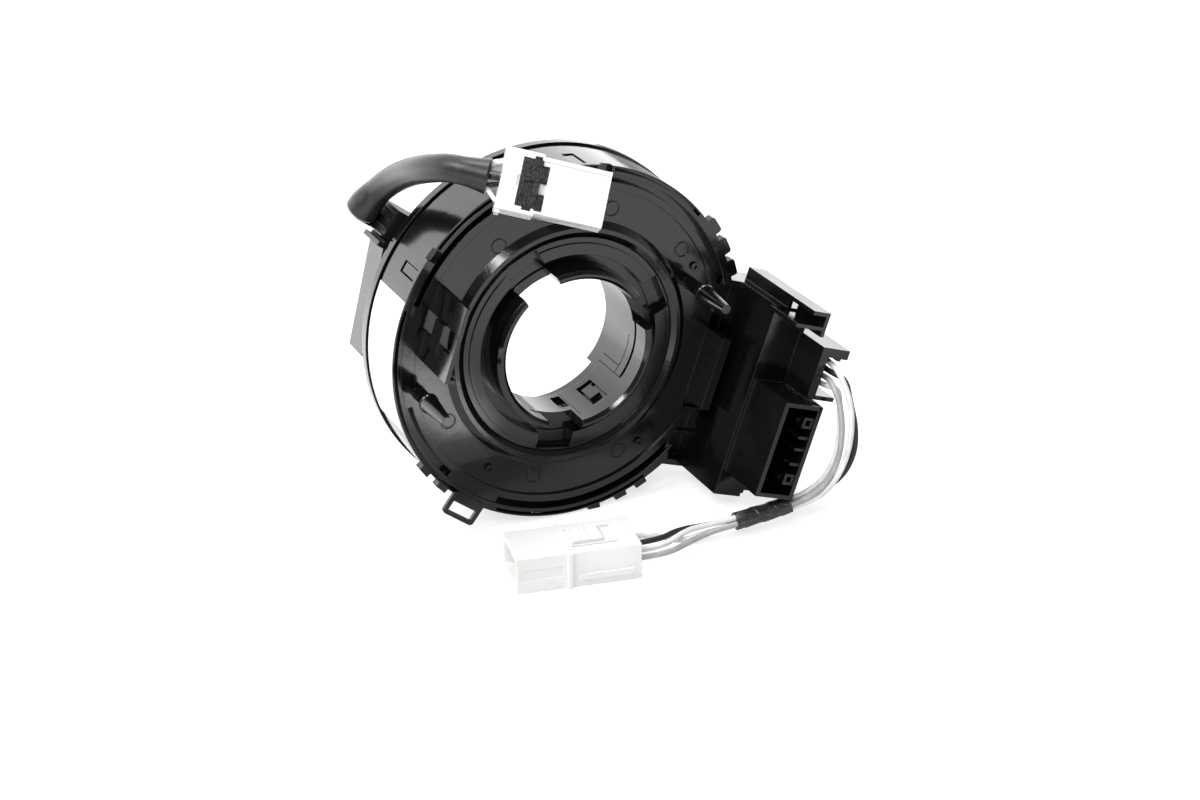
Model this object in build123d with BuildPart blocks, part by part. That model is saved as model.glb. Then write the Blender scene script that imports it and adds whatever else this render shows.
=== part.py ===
from build123d import *
import math
import os

os.makedirs("parts", exist_ok=True)

# Steering clock spring: a spiral cable in a round drum, with a steering angle sensor
# and its connector block moulded beside it.
# The steering axis lies along Y. The column side faces -Y and the wheel side +Y.
# The unit stands on its round edge, rolled so that the connector block hangs low at +X.
# Every sketch is placed in the unit's own face frame: u runs out to the block,
# v runs up the block's length and w rises from the face towards the steering column.

# ---- Driving dimensions, in millimetres and degrees ----
roll = 18.6
wall = 1.8
thin_wall = 1.3
running_gap = 0.3
seat_gap = 0.05

# Sensor case: rim, face plate and collar, as radii and heights above the face frame
rim_outer_r = 54.0
rim_lip_width = 2.6
rim_groove_width = 2.0
rim_band_width = 2.2
rim_lip_inner_r = rim_outer_r - rim_lip_width
rim_groove_inner_r = rim_lip_inner_r - rim_groove_width
rim_inner_r = rim_groove_inner_r - rim_band_width
rim_lip_top = 0.4
rim_band_top = 0.0
rim_groove_floor = -3.0
rim_seam_inner_r = rim_outer_r - 1.4
rim_seam_width = 0.9
rim_seam_depth = 2.2
rim_seam_spans = [(57.0, 93.0), (99.0, 156.0), (177.0, 251.0), (262.0, 316.0)]
rim_filled_spans = [(175.0, 210.0), (240.0, 261.0)]
face_top = -0.8
face_plate = 1.6
collar_inner_r = 33.0
collar_ridge_r = 34.4
collar_ridge_width = 1.3
collar_slope = 1.9
collar_top = 1.0
case_end = -18.7

# Rim details: grip bumps, edge tabs, snap windows and moulded marks
bump_from = 34.4
bump_count = 3
bump_pitch = 8.0
bump_width = 5.2
bump_depth = 2.2
bump_corner = 0.9
tab_angles = [-127.5, -119.0, -63.0, -53.5, -46.0]
tab_width = 3.8
tab_depth = 1.5
tab_height = 3.0
tab_root = 1.0
snap_angles = [103.8, 166.4, 278.0]
snap_width = 3.6
snap_bottom = -10.2
snap_top = -1.0
snap_clearance = 0.35
snap_wall = 0.9
snap_notch_angles = [95.8, 158.4]
snap_notch_width = 3.6
snap_notch_depth = 1.7
mark_places = [(39.4, 140.4), (41.6, 88.9), (43.3, 50.7), (41.3, -87.3), (40.9, -47.8), (41.1, -137.3)]
mark_d = 4.7
mark_line = 0.35
mark_depth = 0.25
rivet_places = [(44.2, 41.3), (42.6, -107.7), (42.7, -38.7)]
rivet_d = 2.6
rivet_bore_d = 1.2
rivet_height = 0.9

# Drum: the spiral cable's own case and its end cover on the wheel side
drum_wall = 2.0
inner_wall = 1.5
drum_floor = 1.2
drum_floor_top = -11.0
cover_overhang = 0.6
cover_outer_r = rim_outer_r + cover_overhang
cover_seam_depth = 0.9
cover_seam_width = 0.7
cover_inner_r = 31.0
cover_plate = 1.6
cover_end = -22.3

# Rotor: hub tube, cable spool, wheel disc and bore
bore_r = 22.0
hub_tube_r = 24.6
hub_near_end = 6.2
hub_chamfer = 0.9
hub_web_end = -14.5
hub_web = 1.6
spool_inner_r = 27.0
spool_outer_r = 29.0
disc_inset = 4.5
disc_r = rim_outer_r - disc_inset
disc_thickness = 2.2
disc_gap = 0.6
tongue_wall = 1.6
tongue_end = -21.0
tongue_from = -26.0
tongue_arc = 76.0

# Cancel cam: the ring with three stepped drive notches
cam_inner_r = 27.6
cam_top = 0.6
cam_step_r = 31.0
cam_step = 0.5
cam_web = 1.2
cam_bottom = -4.4
notch_angles = [40.0, 136.0, 279.0]
notch_width = 11.0
notch_outer_r = 32.0
notch_floor = -2.6
notch_run_out = 2.0

# Moulded pockets and seams in the bore, as angle spans and heights
bore_pocket_depth = 1.5
bore_pockets = [(-50.5, -37.0, -12.0, 0.2), (-73.0, -65.0, -12.4, -5.0)]
bore_clip = (-48.0, -39.5, -10.6, -4.2)
bore_clip_depth = 0.3
bore_seam_depth = 0.9
bore_seams = [(-20.5, 30.5, -1.6, -0.5), (-20.5, 12.0, -4.9, -4.6), (-104.0, -74.0, -1.8, -0.6)]
bore_lines = [(-21.0, -20.5, -15.0, -0.5), (-14.5, -14.0, -15.0, -4.6), (-64.0, -63.5, -15.0, 2.0)]

# Steering angle gears: a large one on the rotor and two small ones with magnets
gear_module = 0.8
drive_teeth = 96
magnet_teeth = [13, 12]
magnet_angles = [11.0, -11.0]
gear_top = -8.4
gear_thickness = 2.0
gear_backlash = 0.34
tooth_top = 0.7
tooth_root = 0.95
flank_angle = 20.0
magnet_d = 4.4
magnet_height = 1.2
post_r = 1.0
post_clearance = 0.06
post_rise = 0.2

# Flat cable, wound between the spool and the drum
cable_half_turns = 8
cable_thickness = 0.6
cable_inner_r = 31.5
cable_outer_room = 5.7
cable_pitch = 2 * (rim_outer_r - cable_outer_room - cable_inner_r) / cable_half_turns
cable_side_gap = 0.5

# Arm and connector block
arm_floor_top = -5.0
arm_floor = 1.2
arm_inset = 9.6
arm_u = rim_outer_r - arm_inset
arm_overlap = 1.0
arm_rib = 0.9
arm_ribs = [(3.1, 3.3, -15.5), (2.4, 5.2, -23.5)]
arm_rib_height = 1.6
gusset_length = 2.4
gusset_height = 2.2
block_end = -9.4
block_inset = 3.2
block_depth = 12.2
block_u0 = rim_outer_r - block_inset
block_u1 = block_u0 + block_depth
block_v0 = -32.6
block_v1 = 27.2
block_top = 20.0
block_notch_u = 3.0
block_notch_v = 2.2
block_notch_w = 3.0

# Sensor board inside the arm, with its chips and its contacts
board_thickness = 1.2
board_boss_r = 1.6
board_boss_height = 0.3
board_edge_gap = 0.6
board_inset = 16.0
board_u0 = rim_outer_r - board_inset
board_half_width = 13.5
chip_size = 4.4
chip_height = 0.4
contact_width = 0.7
contact_pitch = 2.6
contact_count = 9
contact_height = 9.5
contact_offset = 1.0

# Lower socket, open towards the column
socket_inset = 1.2
socket_depth = 13.0
socket_u0 = block_u0 + socket_inset
socket_u1 = socket_u0 + socket_depth
socket_v0 = -25.0
socket_v1 = 4.4
socket_top = 38.0
socket_floor_top = 21.5
key_post = 3.4
key_wall = 0.9
key_posts_v = [-20.7, -2.9]
key_fins_v = [-14.6, -10.0, -6.3]
key_fin_length = 3.2
key_drop = 0.6

# Upper socket and the plug of the lead
plug_socket_overlap = 1.0
plug_socket_depth = 9.4
plug_socket_u0 = block_u1 - plug_socket_overlap
plug_socket_u1 = plug_socket_u0 + plug_socket_depth
plug_socket_v0 = 4.8
plug_socket_v1 = 20.8
plug_socket_top = 33.0
plug_socket_bottom = 8.0
plug_socket_thick = 2.6
plug_socket_mouth = 22.6
plug_hook_width = 2.8
plug_hook_step = 1.6
plug_hook_drop = 3.0
plug_clearance = 0.15
plug_top = 22.0
plug_slot = 1.4
plug_slot_depth = 5.0

# Guard rail over the plug
rail_top_v = 30.9
rail_side_v = 23.6
rail_inset = 3.9
rail_width = 5.8
rail_u0 = block_u0 + rail_inset
rail_u1 = rail_u0 + rail_width
rail_wall = 1.2
rail_top = 33.0
rail_tongue_overhang = 0.8
rail_tongue_u = block_u0 - rail_tongue_overhang
rail_tongue_v = 25.4

# Guide plates, walls and pins on the face
prong_inset = 9.4
prong_u = prong_inset - rim_outer_r
prong_v0 = -10.5
prong_v1 = 11.5
prong_top = 18.3
prong_wall = 1.3
prong_flange = 3.0
prong_window_v = (-2.9, 3.3)
prong_windows_w = [(-0.8, 4.2), (10.2, 15.9)]
prong_catch = 0.9
prong_catch_drop = 2.0
guide_wall_thickness = 3.0
guide_wall_v0 = -10.8
guide_wall_v1 = 11.6
guide_wall_top = 9.0
pin_places = [(33.2, 24.1, 22.0), (-41.9, -20.4, 20.6)]
pin_stem_r = 2.0
pin_shoulder_r = 2.9
pin_shoulder = 1.6
pin_shoulder_edge = 0.5
pin_taper = 12.4
pin_tip_r = 1.4

# Latch loop that clips the sensor case to the drum
latch_angle = -108.5
latch_root = 1.5
latch_gap = 1.6
latch_reach = 6.1
latch_width = 11.3
latch_bar = 1.4
latch_corner = 1.2
latch_top = 0.6
latch_thickness = 1.2

# Wheel-side connector housing and the pigtail's outlet, on the rotor disc
wheel_turn = 4.6
wheel_box_overhang = 2.0
wheel_box_depth = 13.0
wheel_box_u0 = -disc_r - wheel_box_overhang
wheel_box_u1 = wheel_box_u0 + wheel_box_depth
wheel_box_v0 = -16.2
wheel_box_v1 = 18.7
wheel_box_end = -35.5
wheel_box_floor = 2.0
outlet_turn = -18.0
outlet_overhang = 6.6
outlet_depth = 12.1
outlet_u0 = -disc_r - outlet_overhang
outlet_u1 = outlet_u0 + outlet_depth
outlet_v0 = -1.7
outlet_v1 = 7.0
outlet_end = -38.0
outlet_rib = 0.6
outlet_rib_pitch = 2.3
outlet_ribs = 4
outlet_lug_v = -4.6
outlet_lug = 1.4
elbow_width = 4.4
elbow_depth = 3.4
wheel_pin_count = 6
wheel_pin_pitch = 4.5
wheel_pin_width = 0.8
wheel_pin_height = 3.9

# Pigtail over the drum and its connector
sleeve_d = 7.0
collar_d = 8.4
collar_length = 2.6
plug_end = (-23.9, -8.0, 56.4)
pigtail_long = (0.878, -0.417, -0.235)
pigtail_normal = (-0.274, -0.84, 0.468)
sleeve_gap = 3.6
sleeve_last_run = 5.4
sleeve_route = [
    (-47.4, 34.4, 38.6),
    (-44.6, 32.5, 42.8),
    (-42.3, 28.5, 46.1),
    (-41.0, 24.0, 48.7),
    (-40.2, 19.3, 51.0),
    (-39.6, 14.5, 53.1),
    (-38.8, 9.6, 55.1),
    (-37.3, 4.8, 56.9),
    (-35.0, 0.0, 58.3),
]
pigtail_wire_d = 1.7
pigtail_wires = 3
pigtail_wire_pitch = 2.0
pigtail_fan = 1.35
pigtail_wire_run = 1.0
pigtail_length = 29.2
pigtail_head_length = 10.5
pigtail_head_width = 17.0
pigtail_width = 15.5
pigtail_thickness = 8.6
retainer_from = 5.0
retainer_length = 7.3
retainer_width = 13.4
retainer_rise = 0.5
retainer_seat = 1.2
cavity_depth = 9.0
pigtail_shell = 1.0

# Lead wires and the connector that lies on the standing surface
wire_d = 1.7
wire_count = 4
tape_d = 5.5
tape_bore_d = 4.9
taped_points = slice(7, 10)
plug_row_u = 67.7
plug_row_v = [13.6, 8.6, 11.1, 16.1]
plug_row_steps = [(0.0, 0.0), (5.0, 0.0), (10.2, 0.45)]
lead_route = [
    (68.3, -31.4, -9.5),
    (68.4, -37.0, -9.6),
    (68.0, -41.6, -14.5),
    (68.0, -43.2, -23.0),
    (67.0, -43.0, -31.5),
    (64.6, -41.2, -39.0),
    (60.8, -38.0, -44.2),
    (55.3, -34.8, -47.4),
    (46.6, -33.8, -49.0),
    (37.3, -33.4, -50.0),
    (28.5, -32.4, -50.8),
    (20.0, -34.0, -50.4),
]
lead_spread = [2.5, 2.5, 2.2, 2.2, 2.1, 1.9, 1.5, 1.22, 1.22, 1.22, 1.6, 2.6]
lead_fan_pitch = 4.2
lead_fan_length = 8.0
lead_entry_height = 5.4
lead_twist = 12.0
lead_box_length = 36.0
lead_box_width = 17.0
lead_box_height = 11.0
lead_box_turn = -10.2
lead_box_end = (3.4, -35.6)
lead_lock_from = 10.0
lead_lock_length = 9.0
lead_lock_width = 8.0
lead_lock_height = 1.2
lead_flange_from = 20.0
lead_flange = 1.4
lead_flange_rise = 0.8
box_edge = 0.6

# Label on the drum wall
label_from = 174.6
label_to = 217.6
label_near = 0.2
label_far = -18.6
label_thickness = 0.12

# ---- Frames ----
roll_sin = math.sin(math.radians(roll))
roll_cos = math.cos(math.radians(roll))
face = Plane(origin=(0, 0, 0), x_dir=(roll_cos, 0, -roll_sin), z_dir=(0, -1, 0))
section = Plane(origin=(0, 0, 0), x_dir=face.x_dir, z_dir=-face.y_dir)
steering_axis = Axis((0, 0, 0), (0, -1, 0))
standing_z = -cover_outer_r
lead_turn_sin = math.sin(math.radians(lead_box_turn))
lead_turn_cos = math.cos(math.radians(lead_box_turn))
lead_base = Plane(
    origin=(lead_box_end[0], lead_box_end[1], standing_z),
    x_dir=(-lead_turn_cos, -lead_turn_sin, 0),
    z_dir=(0, 0, 1),
)
pigtail_base = Plane(origin=plug_end, x_dir=pigtail_long, z_dir=pigtail_normal)
# The sleeve's last run is in line with the connector and stops short of it
for before_end in (sleeve_gap + sleeve_last_run, sleeve_gap):
    sleeve_route.append(tuple(pigtail_base.from_local_coords((-before_end, 0, 0))))


def place(u, v, w):
    """A point of the face frame, in the part's own frame."""
    return (roll_cos * u + roll_sin * v, -w, roll_cos * v - roll_sin * u)


def section_at(angle):
    """The plane through the steering axis at an angle: x along the radius, y along w."""
    turn = math.radians(angle)
    return Plane(
        origin=(0, 0, 0),
        x_dir=place(math.cos(turn), math.sin(turn), 0),
        z_dir=place(math.sin(turn), -math.cos(turn), 0),
    )


def polar(radius, angle):
    """A point of the face at a radius and an angle in degrees."""
    return (radius * math.cos(math.radians(angle)), radius * math.sin(math.radians(angle)))


def block(plane, x0, x1, y0, y1, z0, z1, mode=Mode.ADD):
    """A box in the open part, between two corners of a plane's frame."""
    with BuildSketch(plane.offset(z0)) as outline:
        with Locations(((x0 + x1) / 2, (y0 + y1) / 2)):
            Rectangle(x1 - x0, y1 - y0)
    extrude(outline.sketch, amount=z1 - z0, mode=mode)


def slab(u0, u1, v0, v1, w0, w1, mode=Mode.ADD):
    """A box in the open part, between two corners of the face frame."""
    block(face, u0, u1, v0, v1, w0, w1, mode)


def ring(inner_r, outer_r, w0, w1, mode=Mode.ADD):
    """A round band in the open part, about the steering axis."""
    with BuildSketch(face.offset(w0)) as outline:
        Circle(outer_r)
        if inner_r > 0:
            Circle(inner_r, mode=Mode.SUBTRACT)
    extrude(outline.sketch, amount=w1 - w0, mode=mode)


def post(u, v, radius, w0, w1, mode=Mode.ADD):
    """A round post in the open part, parallel to the steering axis."""
    with BuildSketch(face.offset(w0)) as outline:
        with Locations((u, v)):
            Circle(radius)
    extrude(outline.sketch, amount=w1 - w0, mode=mode)


def turned(r0, r1, angle, width, w0, w1, corner=0.0, mode=Mode.ADD):
    """A box in the open part between two radii at an angle, with rounded corners if asked."""
    with BuildSketch(face.offset(w0)) as outline:
        with Locations(Location(Vector(*polar((r0 + r1) / 2, angle)), angle)):
            if corner > 0:
                RectangleRounded(r1 - r0, width, corner)
            else:
                Rectangle(r1 - r0, width)
    extrude(outline.sketch, amount=w1 - w0, mode=mode)


def sector(r0, r1, w0, w1, angle_from, angle_to, mode=Mode.ADD):
    """A part of a round band in the open part, between two angles in degrees."""
    with BuildSketch(section_at(angle_from)) as outline:
        with Locations(((r0 + r1) / 2, (w0 + w1) / 2)):
            Rectangle(r1 - r0, w1 - w0)
    revolve(outline.sketch, axis=steering_axis, revolution_arc=angle_to - angle_from, mode=mode)


def bend_radii(route):
    """The arc at each inner point of a route, as large as its two runs allow."""
    points = [Vector(*point) for point in route]
    radii = []
    for before, corner, after in zip(points, points[1:], points[2:]):
        shorter = min((corner - before).length, (after - corner).length)
        turn = (corner - before).get_angle(after - corner)
        radii.append(0.45 * shorter / math.tan(math.radians(turn / 2)))
    return radii


def tube(route, diameter, label):
    """One cord as straight runs joined by tangent arcs, as large as the runs allow."""
    radii = bend_radii(route)
    with BuildPart() as cord:
        with BuildLine() as path:
            if radii:
                FilletPolyline(*route, radius=radii)
            else:
                Line(*route)
        start = Vector(*route[0])
        with BuildSketch(Plane(origin=start, z_dir=Vector(*route[1]) - start)):
            Circle(diameter / 2)
        sweep(path=path.line)
    length = path.wires()[0].length
    expected = math.pi * (diameter / 2) ** 2 * length
    print(label, "length", round(length, 1), "smallest radius", round(min(radii, default=0), 1),
          "volume share", round(cord.part.volume / expected, 4))
    return cord


def beside(route, spreads, start_angle, twist):
    """A route beside another one, at a spread and an angle that twist along it."""
    points = [Vector(*point) for point in route]
    result = []
    for index, point in enumerate(points):
        if index < 2:
            along = (points[1] - points[0]).normalized()
        else:
            along = (points[min(index + 1, len(points) - 1)] - points[index - 1]).normalized()
        across = along.cross(Vector(1, 1, -1)).normalized()
        upright = across.cross(along)
        angle = math.radians(start_angle + twist * max(index - 1, 0))
        offset_here = across * (spreads[index] * math.cos(angle)) + upright * (spreads[index] * math.sin(angle))
        result.append(tuple(point + offset_here))
    return result


def finish(part, label):
    """Name a finished piece and write it."""
    part.part.label = label
    export_step(part.part, "parts/" + label + ".step")


# ---- Sensor case: one moulding with the rim, the face, the collar and the block ----
plate_back = face_top - face_plate
with BuildPart() as sensor_case:
    with BuildSketch(section):
        with BuildLine():
            Polyline(
                (collar_inner_r, plate_back),
                (collar_inner_r, rim_band_top),
                (collar_ridge_r, collar_top),
                (collar_ridge_r + collar_ridge_width, collar_top),
                (collar_ridge_r + collar_ridge_width + collar_slope, face_top),
                (rim_inner_r, face_top),
                (rim_inner_r, rim_band_top),
                (rim_groove_inner_r, rim_band_top),
                (rim_groove_inner_r, rim_groove_floor),
                (rim_lip_inner_r, rim_groove_floor),
                (rim_lip_inner_r, rim_lip_top),
                (rim_outer_r, rim_lip_top),
                (rim_outer_r, case_end),
                (rim_outer_r - drum_wall, case_end),
                (rim_outer_r - drum_wall, rim_groove_floor - thin_wall),
                (rim_groove_inner_r - thin_wall, rim_groove_floor - thin_wall),
                (rim_groove_inner_r - thin_wall, plate_back),
                close=True,
            )
        make_face()
    revolve(axis=steering_axis)
    # The rim opens towards the block
    slab(arm_u, rim_outer_r + wall, block_v0 + wall, block_v1 - wall,
         arm_floor_top, rim_lip_top, mode=Mode.SUBTRACT)
    # Arm floor, its step down from the face, and its side walls
    slab(arm_u - arm_overlap, block_u0 + wall, block_v0 + wall, block_v1 - wall,
         arm_floor_top - arm_floor, arm_floor_top)
    slab(arm_u - arm_overlap, arm_u, block_v0 + wall, block_v1 - wall, arm_floor_top, face_top)
    for arm_v in (block_v0, block_v1 - wall):
        slab(arm_u - arm_overlap, block_u0 + wall, arm_v, arm_v + wall, block_end, rim_band_top)
    for rib_start, rib_length, rib_v in arm_ribs:
        slab(arm_u + rib_start, arm_u + rib_start + rib_length, rib_v, rib_v + arm_rib,
             arm_floor_top, arm_floor_top + arm_rib_height)
    # Gusset between the rim and the arm's upper wall
    with BuildSketch(face.offset(arm_floor_top)) as gusset:
        with Locations((arm_u + arm_overlap, block_v1 - wall)):
            Polygon((0, 0), (gusset_length, 0), (0, wall + gusset_height), align=None)
    extrude(gusset.sketch, amount=rim_band_top - arm_floor_top)
    # Connector block, open at the back
    slab(block_u0, block_u1, block_v0, block_v1, block_end, block_top)
    slab(block_u0 + wall, block_u1 - wall, block_v0 + wall, block_v1 - wall,
         block_end, block_top - wall, mode=Mode.SUBTRACT)
    # The board passes from the arm into the block
    slab(block_u0 - arm_overlap, block_u0 + wall + arm_overlap, block_v0 + 2 * wall, block_v1 - 2 * wall,
         block_end, arm_floor_top - arm_floor, mode=Mode.SUBTRACT)
    # Corner notch of the block's near end
    slab(block_u1 - block_notch_u, block_u1, block_v0, block_v0 + block_notch_v,
         block_top - block_notch_w, block_top, mode=Mode.SUBTRACT)
    # Lower socket with its key posts and fins
    slab(socket_u0, socket_u1, socket_v0, socket_v1, block_top - wall, socket_top)
    slab(socket_u0 + thin_wall, socket_u1 - thin_wall, socket_v0 + thin_wall, socket_v1 - thin_wall,
         socket_floor_top, socket_top, mode=Mode.SUBTRACT)
    key_u1 = socket_u1 - thin_wall
    for key_v in key_posts_v:
        slab(key_u1 - key_post, key_u1, key_v, key_v + key_post, socket_floor_top, socket_top - key_drop)
        slab(key_u1 - key_post + key_wall, key_u1 - key_wall, key_v + key_wall, key_v + key_post - key_wall,
             socket_floor_top, socket_top - key_drop, mode=Mode.SUBTRACT)
    for fin_v in key_fins_v:
        slab(key_u1 - key_fin_length, key_u1, fin_v, fin_v + key_wall, socket_floor_top, socket_top - key_drop)
    # Upper socket, open at its outer side above the plug, with a hooked corner
    plug_room_u0 = plug_socket_u0 + plug_socket_thick
    plug_room_u1 = plug_socket_u1 - thin_wall
    plug_room_v0 = plug_socket_v0 + thin_wall
    plug_room_v1 = plug_socket_v1 - plug_hook_width
    slab(plug_socket_u0, plug_socket_u1, plug_socket_v0, plug_socket_v1, plug_socket_bottom, plug_socket_top)
    slab(plug_room_u0, plug_room_u1, plug_room_v0, plug_room_v1,
         plug_socket_bottom + wall, plug_socket_top, mode=Mode.SUBTRACT)
    slab(plug_room_u1, plug_socket_u1, plug_room_v0, plug_room_v1 - plug_hook_step,
         plug_socket_mouth, plug_socket_top, mode=Mode.SUBTRACT)
    slab(plug_room_u1, plug_socket_u1, plug_room_v1 - plug_hook_step, plug_room_v1,
         plug_socket_top - plug_hook_drop, plug_socket_top, mode=Mode.SUBTRACT)
    # Guard rail over the plug, with its hooked end
    slab(rail_u0, rail_u1, rail_top_v - rail_wall, rail_top_v, arm_floor_top, rail_top)
    slab(rail_u1 - rail_wall, rail_u1, rail_side_v, rail_top_v, block_top - wall, rail_top)
    slab(rail_u0, rail_u0 + rail_wall, block_v1 - wall, rail_top_v, arm_floor_top, block_top)
    slab(rail_tongue_u, rail_u1, rail_tongue_v, rail_tongue_v + rail_wall, block_top - wall, rail_top)
    # Guide wall beside the block
    slab(arm_u, arm_u + guide_wall_thickness, guide_wall_v0, guide_wall_v1, arm_floor_top, guide_wall_top)
    # Prong plate across the face, with a turned flange
    slab(prong_u, prong_u + prong_wall, prong_v0, prong_v1, face_top - seat_gap, prong_top)
    slab(prong_u, prong_u + prong_flange, prong_v0, prong_v0 + prong_wall, face_top - seat_gap, prong_top)
    for window_w0, window_w1 in prong_windows_w:
        slab(prong_u, prong_u + prong_wall, *prong_window_v, window_w0, window_w1, mode=Mode.SUBTRACT)
    catch_w0 = prong_windows_w[0][1]
    catch_w1 = prong_windows_w[1][0]
    slab(prong_u - prong_catch, prong_u, prong_window_v[0] - prong_catch_drop, prong_window_v[1],
         catch_w0, catch_w1)
    # Locating pins: a stem, a rounded shoulder and a long taper
    for pin_u, pin_v, pin_top in pin_places:
        shoulder_w = pin_top - pin_taper
        pin_axis = Plane(origin=place(pin_u, pin_v, 0), x_dir=face.x_dir, z_dir=-face.y_dir)
        with BuildSketch(pin_axis) as pin_section:
            with BuildLine():
                Polyline(
                    (0, face_top - seat_gap),
                    (pin_stem_r, face_top - seat_gap),
                    (pin_stem_r, shoulder_w - pin_shoulder),
                    (pin_shoulder_r, shoulder_w - pin_shoulder + pin_shoulder_edge),
                    (pin_shoulder_r, shoulder_w - pin_shoulder_edge),
                    (pin_shoulder_r - pin_shoulder_edge / 2, shoulder_w),
                    (pin_tip_r, pin_top),
                    (0, pin_top),
                    close=True,
                )
            make_face()
        revolve(pin_section.sketch, axis=Axis(pin_axis.origin, (0, -1, 0)))
    # Bosses under the arm floor carry the sensor board
    for boss_v in (guide_wall_v0, -guide_wall_v0):
        post(arm_u + guide_wall_thickness, boss_v, board_boss_r,
             arm_floor_top - arm_floor - board_boss_height, arm_floor_top - arm_floor)
    # Grip bumps on the edge of the rim, and low tabs on its lower edge
    for bump in range(bump_count):
        turned(rim_outer_r - tab_root, rim_outer_r + bump_depth, bump_from + bump * bump_pitch, bump_width,
               rim_lip_top - tab_height, rim_lip_top, bump_corner)
    for angle in tab_angles:
        turned(rim_outer_r - tab_root, rim_outer_r + tab_depth, angle, tab_width,
               rim_lip_top - tab_height, rim_lip_top)
    # Seam in the lip, and the places where the groove is filled
    for angle_from, angle_to in rim_seam_spans:
        sector(rim_seam_inner_r, rim_seam_inner_r + rim_seam_width, rim_lip_top - rim_seam_depth, rim_lip_top,
               angle_from, angle_to, mode=Mode.SUBTRACT)
    for angle_from, angle_to in rim_filled_spans:
        sector(rim_groove_inner_r, rim_lip_inner_r, rim_groove_floor, rim_band_top, angle_from, angle_to)
    # Snap windows in the drum wall, and the notches in the lip
    for angle in snap_angles:
        turned(rim_outer_r - drum_wall, rim_outer_r + seat_gap, angle, snap_width,
               snap_bottom, snap_top, mode=Mode.SUBTRACT)
    for angle in snap_notch_angles:
        turned(rim_lip_inner_r, rim_outer_r + seat_gap, angle, snap_notch_width,
               rim_lip_top - snap_notch_depth, rim_lip_top, mode=Mode.SUBTRACT)
    # Ejector marks in the face
    for mark_r, angle in mark_places:
        mark_u, mark_v = polar(mark_r, angle)
        with BuildSketch(face.offset(face_top)) as mark:
            with Locations((mark_u, mark_v)):
                Circle(mark_d / 2)
                Circle(mark_d / 2 - mark_line, mode=Mode.SUBTRACT)
        extrude(mark.sketch, amount=-mark_depth, mode=Mode.SUBTRACT)
    # Latch loop
    latch_outer_r = rim_outer_r + latch_reach
    turned(rim_outer_r - latch_root, latch_outer_r, latch_angle, latch_width,
           latch_top - latch_thickness, latch_top, latch_corner)
    turned(rim_outer_r + latch_gap, latch_outer_r - latch_bar, latch_angle, latch_width - 2 * latch_bar,
           latch_top - latch_thickness, latch_top, mode=Mode.SUBTRACT)
finish(sensor_case, "sensor_case")

# ---- Block cover: closes the back of the connector block ----
with BuildPart() as block_cover:
    slab(block_u0, block_u1, block_v0, block_v1, block_end - wall, block_end)
    ring(0, rim_outer_r + seat_gap, block_end - wall, block_end, mode=Mode.SUBTRACT)
finish(block_cover, "block_cover")

# ---- Drum case: the cable's cup, nested in the sensor case ----
with BuildPart() as drum_case:
    drum_r = rim_outer_r - drum_wall - seat_gap
    ring(drum_r - inner_wall, drum_r, case_end, drum_floor_top)
    ring(cover_inner_r, drum_r, drum_floor_top - drum_floor, drum_floor_top)
    for teeth, angle in zip(magnet_teeth, magnet_angles):
        post_u, post_v = polar(gear_module * (drive_teeth + teeth) / 2, angle)
        post(post_u, post_v, post_r, drum_floor_top, gear_top + post_rise)
    # Snap tongues that fill the windows of the sensor case
    tongue_width = snap_width - 2 * snap_clearance
    tongue_shoulder = rim_groove_floor - thin_wall - snap_clearance
    for angle in snap_angles:
        turned(drum_r - snap_wall, drum_r, angle, tongue_width, drum_floor_top - drum_floor, tongue_shoulder)
        turned(drum_r - snap_wall, rim_outer_r - snap_clearance, angle, tongue_width,
               snap_bottom + snap_clearance, tongue_shoulder)
        turned(rim_outer_r - drum_wall + snap_clearance, rim_outer_r - snap_clearance, angle, tongue_width,
               snap_bottom + snap_clearance, snap_top - snap_clearance)
finish(drum_case, "drum_case")

# ---- End cover on the wheel side ----
with BuildPart() as end_cover:
    ring(rim_outer_r - drum_wall, rim_outer_r - cover_seam_depth, cover_end, case_end)
    ring(rim_outer_r - drum_wall, cover_outer_r, cover_end, case_end - cover_seam_width)
    ring(cover_inner_r, rim_outer_r, cover_end, cover_end + cover_plate)
finish(end_cover, "end_cover")

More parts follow.
